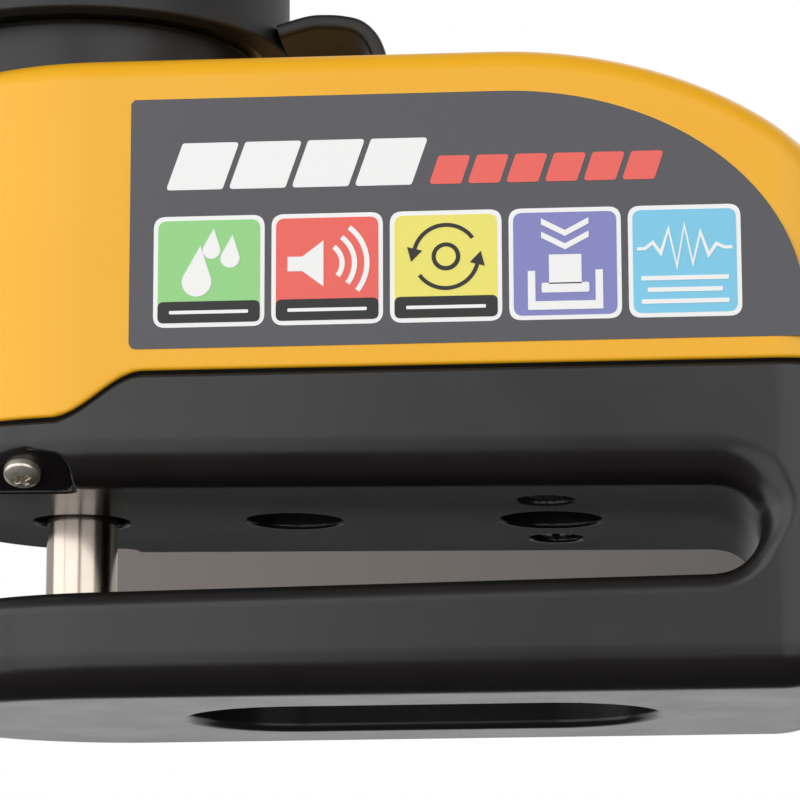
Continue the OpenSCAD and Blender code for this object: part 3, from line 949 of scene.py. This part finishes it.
    def build(self) -> None:
        """Meshes and paints the casting."""
        form = self.form
        low = (form.nose_x - form.half_t, -form.half_t, 0)
        high = (form.end_x, form.half_t, self.board_h + 0.1)
        made = field_object("lock_body_casting", self.solid, low, high, self.cell, form.pin_x, self.keep)
        dress(made, Finishes.BODY, "housing", "lock_body")


@dataclass
class Shell:
    """Moulded cover over the alarm, with openings for the cylinder and the strap.

    Attributes:
        form: The shared form.
        cell: Size of the mesh's first faces.
        keep: Share of those faces that is kept.
        edge: Rounding of the upper edges.
        wall: Thickness of the wall.
        sleeve_r: Radius of the opening for the cylinder.
        strap_x: Place of the strap's hole.
        strap_hole_r: Its radius.
        screw_hole_r: Radius of the screw's hole.
    """

    form: LockForm
    cell: float = 0.3
    keep: float = 0.16
    edge: float = 2.3
    wall: float = 2.2
    sleeve_r: float = 13.08
    strap_x: float = 26.0
    strap_hole_r: float = 1.32
    screw_hole_r: float = 1.52

    def solid(self, x: Array, y: Array, z: Array) -> Array:
        """Field of the hollow shell."""
        form = self.form
        above = form.shell_top + 8
        plan = form.plan(x, y)
        outer = both(plan, form.crown(x, z, bulge(self.edge)), self.edge)
        foot = form.joint(x) + form.seam - z
        shell = both(outer, foot, 0.3)
        inner = both(plan + self.wall, form.crown(x, z) + self.wall, 0.5)
        post_r, post_foot = form.shell_post
        post = tube(x - form.shell_screw_x, y, z, post_r, post_foot + 0.1, form.shell_top)
        shell = cut(shell, np.maximum(inner, -post), 0.25)
        shell = cut(shell, tube(x - form.shell_screw_x, y, z, self.screw_hole_r, 20, 32), 0.1)
        shell = cut(shell, tube(x, y, z, self.sleeve_r, form.joint_h, above), 0.3)
        return cut(shell, tube(x - self.strap_x, y, z, self.strap_hole_r, form.joint_h, above), 0.25)

    def build(self) -> None:
        """Meshes and dresses the shell."""
        form = self.form
        low = (form.nose_x - form.half_t, -form.half_t, form.joint_h - form.joint_drop)
        high = (form.end_x, form.half_t, form.shell_top)
        made = field_object("shell_moulding", self.solid, low, high, self.cell, form.pin_x, self.keep)
        dress(made, Finishes.SHELL, "housing", "shell")


# ---------------------------------------------------------------- label


@dataclass
class Label:
    """Dark film on each side of the shell, and the printing on the front one.

    Attributes:
        form: The shared form.
        left: Left edge of the film.
        low: Lower edge.
        high: Upper edge.
        bend_x: Where the upper edge starts to fall.
        bend_z: Where it has become upright.
        right: Right edge.
        proud: How far the film stands out of the shell.
        sunk: How far it goes into the shell.
        layer: Step from each layer of ink to the next.
        icon_left: Left edge of the first icon.
        icon_low: Lower edge of the icons.
        icon_pitch: Distance from icon to icon.
        icon_w: Width of an icon.
        icon_h: Height of an icon.
        border: Width of its white border.
        layers: Shapes of the piece that is being drawn.
    """

    form: LockForm
    left: float = 7.0
    low: float = 27.7
    high: float = 48.4
    bend_x: float = 37.0
    bend_z: float = 30.0
    right: float = 61.1
    proud: float = 0.06
    sunk: float = 0.15
    layer: float = 0.02
    icon_left: float = 8.96
    icon_low: float = 29.4
    icon_pitch: float = 9.54
    icon_w: float = 8.98
    icon_h: float = 9.15
    border: float = 0.36
    layers: list = field(default_factory=list)

    def outline(self) -> list[Point2]:
        """Outline of the film: square on the left, and following the crown on the right."""
        corners = [(self.left, self.low), (self.right, self.low), (self.left, self.high)]
        low_left = rounded(corners, [0.7, 0.0, 0.0])[:-2]
        bend = [
            (
                self.bend_x + (self.right - self.bend_x) * math.cos(math.radians(a)),
                self.bend_z + (self.high - self.bend_z) * math.sin(math.radians(a)),
            )
            for a in range(0, 91, 3)
        ]
        top_left = [(self.left + 0.3, self.high), (self.left, self.high - 0.3)]
        return [*low_left, (self.right, self.low), *bend, *top_left]

    def ink(self, outline: Sequence[Point2], level: int, finish: Inks) -> None:
        """Adds one printed shape, on its layer above the film."""
        face = -self.form.half_t - self.proud - self.layer * level
        self.layers.append((list(outline), face + self.layer * 0.9, face, finish))

    def icon(self, number: int, color: Inks, band: bool) -> tuple[float, float]:
        """Adds a bordered square with its field of colour.

        Args:
            number: Place in the row, from 0.
            color: Ink of the field.
            band: True if it has a dark band along the bottom.

        Returns:
            X and Z of the field's lower left corner.
        """
        x, z = self.icon_left + number * self.icon_pitch, self.icon_low
        w, h, b = self.icon_w, self.icon_h, self.border
        self.ink(rectangle((x, z), (x + w, z + h), 1.0), 1, Inks.WHITE)
        self.ink(rectangle((x + b, z + b), (x + w - b, z + h - b), 0.75), 2, color)
        if band:
            self.ink(rectangle((x + b, z + b), (x + w - b, z + b + 1.75), 0.5), 3, Inks.BLACK)
            self.ink(rectangle((x + 1.3, z + b + 0.72), (x + w - 1.3, z + b + 1.0), 0.1), 4, Inks.WHITE)
        return x, z

    def drops(self) -> None:
        """Three water drops."""
        x, z = self.icon(0, Inks.GREEN, True)
        for cx, cz, r in ((3.5, 3.7, 1.2), (4.7, 6.3, 0.72), (6.2, 5.6, 0.78)):
            tip = (x + cx + 0.25 * r, z + cz + 2.5 * r)
            round_part = [on_circle((x + cx, z + cz), r, math.radians(a)) for a in range(-205, 26, 10)]
            self.ink([*round_part, tip], 4, Inks.WHITE)

    def sound(self) -> None:
        """A loudspeaker and its waves."""
        x, z = self.icon(1, Inks.RED, True)
        horn = [(1.3, 4.4), (2.5, 4.4), (4.2, 3.1), (4.2, 6.9), (2.5, 5.6), (1.3, 5.6)]
        self.ink([(x + u, z + v) for u, v in horn], 4, Inks.WHITE)
        for r in (1.7, 2.7, 3.7):
            self.ink(arc_band((x + 4.0, z + 5.0), r, 0.42, -38, 52), 4, Inks.WHITE)

    def turn(self) -> None:
        """Two arrows round a pin's end."""
        x, z = self.icon(2, Inks.YELLOW, True)
        cx, cz = x + 4.5, z + 5.35
        for start in (35, 215):
            self.ink(arc_band((cx, cz), 2.6, 0.32, start, start + 130), 4, Inks.BLACK)
            a = math.radians(start + 130)
            end = on_circle((cx, cz), 2.6, a)
            tip = on_circle(end, 1.1, a + math.pi / 2)
            self.ink([on_circle(end, 0.62, a), tip, on_circle(end, -0.62, a)], 4, Inks.BLACK)
        self.ink(circle((cx, cz), 1.15), 4, Inks.BLACK)
        self.ink(circle((cx, cz), 0.8), 5, Inks.YELLOW)

    def push(self) -> None:
        """A plunger going down into its seat, under two arrowheads."""
        x, z = self.icon(3, Inks.INDIGO, False)
        self.ink(rectangle((x + 3.2, z + 2.9), (x + 5.8, z + 5.3)), 4, Inks.WHITE)
        self.ink(rectangle((x + 2.6, z + 2.2), (x + 6.4, z + 3.0), 0.15), 4, Inks.WHITE)
        right = [(7.5, 0.8), (7.5, 4.0), (6.9, 4.0), (6.9, 1.5)]
        seat = [(1.5, 0.8), *right, (2.1, 1.5), (2.1, 4.0), (1.5, 4.0)]
        self.ink([(x + u, z + v) for u, v in seat], 4, Inks.WHITE)
        for top in (8.3, 7.2):
            upper = [(2.6, top), (4.5, top - 1.0), (6.4, top)]
            lower = [(u, v - 0.5) for u, v in upper]
            self.ink([(x + u, z + v) for u, v in [*lower, *upper[::-1]]], 4, Inks.WHITE)

    def pulse(self) -> None:
        """A shock trace over three plain rules."""
        x, z = self.icon(4, Inks.BLUE, False)
        heights = (0, 0, 0.5, -0.4, 1.6, -1.5, 1.9, -1.3, 1.3, -0.6, 0.3, 0, 0)
        pitch = 7.6 / (len(heights) - 1)
        path = [(x + 0.7 + pitch * k, z + 5.6 + h) for k, h in enumerate(heights)]
        self.ink(line_band(path, 0.26), 4, Inks.WHITE)
        for k, inset in enumerate((1.0, 1.5, 1.0)):
            rule = z + 3.0 - 0.95 * k
            low, high = (x + inset, rule), (x + self.icon_w - inset, rule + 0.36)
            self.ink(rectangle(low, high, 0.1), 4, Inks.WHITE)

    def heading(self) -> None:
        """Plain slanted blocks above the icons: broad white ones, then narrow red ones."""
        rows = (
            (9.9, 40.75, 3.9, 1.35, Inks.WHITE, (4.6, 4.6, 4.6, 4.6)),
            (31.2, 40.75, 2.35, 0.8, Inks.RED, (2.6, 2.6, 2.6, 2.6, 2.6, 2.6)),
        )
        for x, z, height, slant, finish, widths in rows:
            for width in widths:
                corners = [(x, z), (x + width, z), (x + width + slant, z + height), (x + slant, z + height)]
                self.ink(rounded(corners, 0.25, 3), 2, finish)
                x += width + 0.5

    def build(self) -> None:
        """Makes both films and all the printing."""
        pin_x, face = self.form.pin_x, self.form.half_t
        for name, side in (("front_label", -1), ("back_label", 1)):
            back, front = side * (face - self.sunk), side * (face + self.proud)
            film = (self.outline(), back, front, 0)
            made = prisms_object(f"{name}_film", [film], pin_x, [Finishes.LABEL])
            dress(made, Finishes.LABEL, "housing", name)
        for draw in (self.heading, self.drops, self.sound, self.turn, self.push, self.pulse):
            self.layers = []
            draw()
            used = list(dict.fromkeys(finish for *_, finish in self.layers))
            shapes = [(*shape, used.index(finish)) for *shape, finish in self.layers]
            made = prisms_object(f"label_print_{draw.__name__}", shapes, pin_x, used)
            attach(made, "housing")
            log.info("piece %s: %d shapes", made.name, len(shapes))


# ---------------------------------------------------------------- cap, strap and collar


@dataclass
class CapAndCollar:
    """Collar on the shell, rubber cap over the plunger's head, and the strap that keeps it."""

    form: LockForm
    collar_r: float = 14.6
    collar_bore: float = 11.3
    collar_top: float = 57.3
    cap_r: float = 17.45
    cap_low: float = 57.3
    cap_top: float = 69.0
    head_r: float = 15.36
    head_top: float = 67.0
    strap_w: float = 11.0
    strap_t: float = 1.3
    strap_line: tuple = (
        (26.0, 52.5),
        (26.0, 53.6),
        (25.9, 55.6),
        (25.3, 57.4),
        (24.2, 58.6),
        (22.8, 59.05),
        (21.2, 59.2),
        (19.7, 59.1),
        (17.2, 58.4),
    )
    strap_split: int = 3

    def collar(self) -> None:
        """Turned ring with a rounded top edge and a foot through the shell."""
        top, seat = self.collar_top, self.form.shell_top
        profile = rounded(
            [
                (self.collar_bore, seat - 1.9),
                (13.0, seat - 1.9),
                (13.0, seat),
                (self.collar_r, seat),
                (self.collar_r, top),
                (self.collar_bore, top),
            ],
            [0.2, 0.2, 0.0, 0.15, 0.7, 0.5],
        )
        made = lathe_object("collar_ring", profile, self.form.pin_x)
        dress(made, Finishes.COLLAR, "housing", "lock_collar")

    def cap(self) -> None:
        """Moulded cap: a rounded lower rim, a plain wall and a dished top."""
        r, low, top = self.cap_r, self.cap_low, self.cap_top
        profile = rounded(
            [
                (self.head_r, low),
                (r, low),
                (r, top - 0.1),
                (r - 3.6, top),
                (r - 4.2, top - 0.5),
                (0.0, top - 0.35),
                (0.0, self.head_top + 0.15),
                (self.head_r, self.head_top + 0.15),
            ],
            [0.2, 0.25, 1.6, 0.4, 0.4, 0.0, 0.0, 0.2],
        )
        made = lathe_object("dust_cap_moulding", profile, self.form.pin_x, 160)
        dress(made, Finishes.CAP, "cap", "dust_cap")

    def strap(self) -> None:
        """Rubber strap, swept in two lengths that meet at the split."""
        pin = self.form.pin_x
        steps = 8
        split = self.strap_split * steps
        path = curve_points(self.strap_line, steps)
        rows = sweep_rows(path, self.strap_w, self.strap_t)
        for name, part, bodies in (
            ("strap_leg", slice(0, split + 1), ("housing", "plunger_unit")),
            ("strap_loop", slice(split, None), ("plunger_unit", "cap")),
        ):
            made = rows_object(name, rows[part], pin)
            made.data.materials.append(Finishes.CAP.material)
            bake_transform(made)
            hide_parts("cap_strap")
            log.info("piece %s bends between %s and %s", name, *bodies)

    def build(self) -> None:
        """Makes all three."""
        self.collar()
        self.cap()
        self.strap()


# ---------------------------------------------------------------- screws and pin


@dataclass
class Screw:
    """Pan-head screw with a cross recess, standing on its own axis, in mm."""

    name: str
    head_r: float
    head_h: float
    shank_r: float
    shank_l: float

    def solid(self, x: Array, y: Array, z: Array) -> Array:
        """Field of the screw with the underside of its head at Z = 0."""
        dome_r = self.head_r * 1.7
        dome = np.sqrt(x**2 + y**2 + (z - self.head_h + dome_r) ** 2) - dome_r
        head = both(tube(x, y, z, self.head_r, 0, self.head_h + 1), dome, 0.12)
        thin = self.head_r * 0.14
        arm = self.head_r * 0.56 + (z - self.head_h) * 0.4
        bottom = self.head_h * 0.3 - z
        wing_x = np.maximum(np.maximum(np.abs(x) - arm, np.abs(y) - thin), bottom)
        wing_y = np.maximum(np.maximum(np.abs(y) - arm, np.abs(x) - thin), bottom)
        head = cut(head, np.minimum(wing_x, wing_y), 0.08)
        shank = tube(x, y, z, self.shank_r, -self.shank_l, 0.2)
        return join(head, shank, 0.1)

    def place(self, places: Sequence[Matrix], finish: Finishes, node: str, pin_x: float) -> None:
        """Meshes the screw once and puts a copy at each place."""
        low = (-self.head_r, -self.head_r, -self.shank_l)
        high = (self.head_r, self.head_r, self.head_h)
        cell = self.head_r / 34
        points, faces = surface_net(self.solid, low, high, cell)
        points, normals = settle(self.solid, points, cell)
        for number, place in enumerate(places, 1):
            turn = np.array(place.to_3x3())
            moved = points @ turn.T + np.array(place.translation)
            made = mesh_object(f"{self.name}_{number}", to_frame(moved, pin_x), faces, normals @ turn.T)
            dress(made, finish, "housing", node)


@dataclass
class Fasteners:
    """Screws that show: two at the nose, two beside the sound port and one in the ceiling."""

    form: LockForm

    def build(self) -> None:
        """Places every screw."""
        form = self.form
        pin_x = form.pin_x
        x, y, z = form.nose_screw
        tilted = [
            Matrix.Translation((x, side * y, z))
            @ Matrix.Rotation(math.radians(-side * (90 + form.nose_tilt)), 4, "X")
            @ Matrix.Rotation(math.radians(28), 4, "Z")
            for side in (-1, 1)
        ]
        Screw("nose_screw", 1.5, 1.1, 1.0, 2.2).place(tilted, Finishes.NICKEL, "nose_screws", pin_x)
        flip = Matrix.Rotation(math.pi, 4, "X")
        places = [(form.sounder_x, side * form.sounder_screw_y, form.slot_ceiling + 0.6) for side in (-1, 1)]
        pair = [Matrix.Translation(place) @ flip for place in places]
        Screw("sounder_screw", 2.2, 1.0, 1.1, 6.0).place(pair, Finishes.OXIDE, "sounder_screws", pin_x)
        single = [Matrix.Translation((form.shell_screw_x, 0, form.slot_ceiling + 3)) @ flip]
        Screw("shell_screw_steel", 3.0, 1.8, 1.5, 11.0).place(single, Finishes.OXIDE, "shell_screw", pin_x)


@dataclass
class Pin:
    """Ground lock pin with a chamfered tip and the stud that holds it in the plunger."""

    form: LockForm
    radius: float = 3.0
    tip: float = 5.0
    foot: float = 28.4
    stud_r: float = 2.4
    stud_top: float = 33.0

    def build(self) -> None:
        """Turns and polishes the pin."""
        profile = rounded(
            [
                (0.0, self.tip),
                (self.radius - 0.6, self.tip),
                (self.radius, self.tip + 0.6),
                (self.radius, self.foot),
                (self.stud_r, self.foot),
                (self.stud_r, self.stud_top),
                (0.0, self.stud_top),
            ],
            [0.0, 0.3, 0.3, 0.1, 0.0, 0.2, 0.0],
        )
        made = lathe_object("lock_pin_ground", profile, self.form.pin_x, 96)
        dress(made, Finishes.PIN, "plunger_unit", "lock_pin")


class Inside:
    """Pieces inside the lock that are shown just as the CAD made them."""

    FINISH_OF = {
        Finishes.GASKET: ("shell_gasket", "plunger_seals"),
        Finishes.HARD: ("guide_sleeve", "pin_socket", "retaining_pin", "plug_cam", "latch_bolt"),
        Finishes.BRASS: ("pin_guide", "shock_sensor", "sounder_disc", "driver_pins", "key_plug", "key_pins"),
        Finishes.BOARD: ("circuit_board",),
        Finishes.NICKEL: ("board_screws", "battery_contacts"),
        Finishes.CHIP: ("board_parts", "arm_switch", "sounder", "battery_tray"),
        Finishes.CREAM: ("arm_button",),
        Finishes.CELL: ("button_cells",),
        Finishes.WIRE: ("lead_wires",),
        Finishes.ZINC: ("plunger",),
        Finishes.SPRING: ("return_spring",),
        Finishes.CAP: ("strap_anchor",),
    }

    def build(self) -> None:
        """Gives each of them its finish."""
        for finish, nodes in self.FINISH_OF.items():
            for node in nodes:
                dress_node(node, finish)


# ---------------------------------------------------------------- stage


@dataclass
class Stage:
    """Pale floor, soft studio light and the camera.

    Attributes:
        place: Where the camera stands, in metres.
        pitch: How far it looks up, in degrees.
        yaw: How far it looks towards +X, in degrees.
        roll: How far its picture is turned, in degrees.
        lens: Focal length, in mm.
        shift: Shift of the lens, sideways and upward.
        low_glow: Light from below the horizon, where 1 is white.
        high_glow: Light from above it.
        zenith_share: Share of that light that comes from overhead.
        floor_z: Height of the floor, in metres.
        shade_card_x: Where the panel of painted shadow starts, where it has faded in, and where it ends, in
            metres.
        shade_card_z: Its lower and upper edge, in metres.
        shade_card_y: How far back it stands, in metres.
        painted_shade_colors: Its painted shadow colours at the left and at the right, darker towards the
            slot's closed end.
    """

    place: Vector = field(default_factory=lambda: Vector((28.09, -300.12, -33.57)) * MM)
    pitch: float = 11.43
    yaw: float = -3.79
    roll: float = 0.41
    lens: float = 162.56
    shift: tuple = (-0.08953, -0.00349)
    low_glow: float = 0.05
    high_glow: float = 0.62
    zenith_share: float = 0.2
    floor_z: float = -2e-5
    shade_card_x: Point3 = (-0.029, -0.0256, 0.0328)
    shade_card_z: Point2 = (0.012, 0.022)
    shade_card_y: float = 0.0204
    # painted shadow: the grey of the backdrop in the lock's shade, lighter at the slot's open end
    painted_shade_colors: tuple = ("#79726f", "#64605d")

    def camera(self) -> None:
        """Camera low in front of the lock, looking slightly up."""
        data = bpy.data.cameras.new("camera")
        data.sensor_width = SENSOR_W
        data.lens = self.lens
        data.shift_x, data.shift_y = self.shift
        data.clip_start = 0.01
        pitch, yaw, roll = (math.radians(a) for a in (self.pitch, self.yaw, self.roll))
        ahead = Vector((math.sin(yaw) * math.cos(pitch), math.cos(yaw) * math.cos(pitch), math.sin(pitch)))
        level = Vector((math.cos(yaw), -math.sin(yaw), 0))
        upward = level.cross(ahead)
        right = level * math.cos(roll) - upward * math.sin(roll)
        up = level * math.sin(roll) + upward * math.cos(roll)
        made = bpy.data.objects.new("camera", data)
        bpy.context.scene.collection.objects.link(made)
        made.matrix_world = Matrix.Translation(self.place) @ Matrix((right, up, -ahead)).transposed().to_4x4()
        bpy.context.scene.camera = made

    def softbox(
        self, name: str, azimuth: float, elevation: float, away: float, size: Point2, glow: float
    ) -> None:
        """Area light that faces the middle of the lock and isn't seen by the camera.

        Args:
            name: Name of the light.
            azimuth: Angle round the lock from its front towards +X, in degrees.
            elevation: Angle above the horizon, in degrees.
            away: Distance from the middle of the lock, in metres.
            size: Width and height, in metres.
            glow: Brightness of its face, where 1 is the white background.
        """
        turn, rise = math.radians(azimuth), math.radians(elevation)
        middle = Vector((-0.01, 0.0, 0.03))
        back = Vector((math.sin(turn) * math.cos(rise), -math.cos(turn) * math.cos(rise), math.sin(rise)))
        data = bpy.data.lights.new(name, "AREA")
        data.shape = "RECTANGLE"
        data.size, data.size_y = size
        data.energy = glow * math.pi * size[0] * size[1]
        made = bpy.data.objects.new(name, data)
        made.location = middle + back * away
        made.rotation_mode = "QUATERNION"
        made.rotation_quaternion = (-back).to_track_quat("-Z", "Y")
        made.visible_camera = False
        bpy.context.scene.collection.objects.link(made)

    def world(self) -> None:
        """White surroundings to the camera; the light they give is pale above and dark below."""
        made = bpy.data.worlds.new("studio")
        made.use_nodes = True
        tree = made.node_tree
        tree.nodes.clear()
        path = add_node(tree, "ShaderNodeLightPath")
        direction = add_node(tree, "ShaderNodeTexCoord").outputs["Generated"]
        height = add_node(tree, "ShaderNodeSeparateXYZ", {0: direction}).outputs["Z"]
        rise = {"From Min": -0.1, "From Max": 0.25, "To Min": self.low_glow, "To Max": self.high_glow}
        glow = add_node(tree, "ShaderNodeMapRange", {"Value": height, **rise}).outputs["Result"]
        fall = {"From Min": 0.6, "From Max": 0.9, "To Min": 1.0, "To Max": self.zenith_share}
        zenith = add_node(tree, "ShaderNodeMapRange", {"Value": height, **fall}).outputs["Result"]
        strength = add_node(tree, "ShaderNodeMath", {0: glow, 1: zenith}, operation="MULTIPLY")
        light = add_node(tree, "ShaderNodeBackground", {"Color": WHITE, "Strength": strength.outputs[0]})
        seen = add_node(tree, "ShaderNodeBackground", {"Color": WHITE, "Strength": 1.0})
        mixed = add_node(
            tree,
            "ShaderNodeMixShader",
            {0: path.outputs["Is Camera Ray"], 1: light.outputs[0], 2: seen.outputs[0]},
        )
        add_node(tree, "ShaderNodeOutputWorld", {"Surface": mixed.outputs[0]})
        bpy.context.scene.world = made
        bpy.context.scene.view_settings.view_transform = "Standard"

    def panel(
        self, name: str, corners: Sequence[Point3], material: bpy.types.Material, face: bpy.types.NodeSocket,
        hidden: bpy.types.NodeSocket,
    ) -> None:
        """Flat piece of the set that only the camera sees.

        Args:
            name: Name of the piece.
            corners: Its corners in metres, counterclockwise from its visible side.
            material: Its material, with the nodes of its visible side.
            face: Shader of the visible side.
            hidden: 1 where it isn't seen.
        """
        tree = material.node_tree
        clear = add_node(tree, "ShaderNodeBsdfTransparent")
        mixed = add_node(tree, "ShaderNodeMixShader", {0: hidden, 1: face, 2: clear.outputs[0]})
        add_node(tree, "ShaderNodeOutputMaterial", {"Surface": mixed.outputs[0]})
        made = mesh_object(name, corners, [(0, 1, 2, 3)])
        made.data.materials.append(material)
        for rays in ("diffuse", "glossy", "transmission", "shadow"):
            setattr(made, f"visible_{rays}", False)

    def floor(self) -> None:
        """Pale floor that shows from above only, so the underside keeps its light."""
        half, z = 1.2, self.floor_z
        corners = [(-half, -half, z), (half, -half, z), (half, half, z), (-half, half, z)]
        material, tree = empty_material("matt white board")
        shape = add_node(tree, "ShaderNodeNewGeometry")
        drift = add_node(tree, "ShaderNodeTexNoise", {"Vector": shape.outputs["Position"], "Scale": 40.0})
        tone = add_node(
            tree, "ShaderNodeMapRange", {"Value": drift.outputs["Fac"], "To Min": 0.9, "To Max": 0.94}
        )
        board = add_node(
            tree, "ShaderNodeBsdfPrincipled", {"Base Color": tone.outputs["Result"], "Roughness": 0.7}
        )
        self.panel("floor", corners, material, board.outputs[0], shape.outputs["Backfacing"])

    def shade_card(self) -> None:
        """Panel of painted shadow close behind the slot, seen from the front only.

        Its left end fades out behind the pin, so that it has no hard edge once the pin is up.
        """
        left, faded, right = self.shade_card_x
        low, high = self.shade_card_z
        corners = [(x, self.shade_card_y, z) for x, z in ((left, low), (right, low), (right, high), (left, high))]
        material, tree = empty_material("painted shade card")
        shape = add_node(tree, "ShaderNodeNewGeometry")
        along = add_node(tree, "ShaderNodeSeparateXYZ", {0: shape.outputs["Position"]}).outputs["X"]
        share = add_node(tree, "ShaderNodeMapRange", {"Value": along, "From Min": left, "From Max": right})
        # painted shadow colours, darker towards the slot's closed end
        first, last = (linear(c) for c in self.painted_shade_colors)
        tone = add_node(
            tree, "ShaderNodeMix", {0: share.outputs["Result"], 6: first, 7: last}, data_type="RGBA"
        )
        # the panel glows with this painted shade instead of being lit by the lamps
        glow = add_node(tree, "ShaderNodeEmission", {"Color": tone.outputs[2]})
        ends = {"From Min": left, "From Max": faded, "To Min": 1.0, "To Max": 0.0}
        fade = add_node(tree, "ShaderNodeMapRange", {"Value": along, **ends}).outputs["Result"]
        behind = shape.outputs["Backfacing"]
        hidden = add_node(tree, "ShaderNodeMath", {0: fade, 1: behind}, operation="MAXIMUM")
        self.panel("painted_shade_card", corners, material, glow.outputs[0], hidden.outputs[0])

    def build(self) -> None:
        """Sets up everything round the lock."""
        self.world()
        self.floor()
        self.shade_card()
        self.camera()
        self.softbox("left softbox", -72, 2, 0.7, (0.56, 0.95), 1.3)
        self.softbox("front left softbox", -26, 2, 0.7, (0.56, 0.95), 1.25)
        self.softbox("front right softbox", 27, 2, 0.7, (0.56, 0.95), 1.08)
        self.softbox("low reflector", 180, -44, 0.063, (0.18, 0.03), 0.7)
        self.softbox("back softbox", 150, 45, 0.8, (0.6, 0.5), 1.0)


def main() -> None:
    """Builds every sub-assembly in order."""
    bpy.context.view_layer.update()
    form = LockForm.from_frame()
    LockBody(form).build()
    Shell(form).build()
    Label(form).build()
    CapAndCollar(form).build()
    Fasteners(form).build()
    Pin(form).build()
    Inside().build()
    Stage().build()


if __name__ == "__main__":
    main()
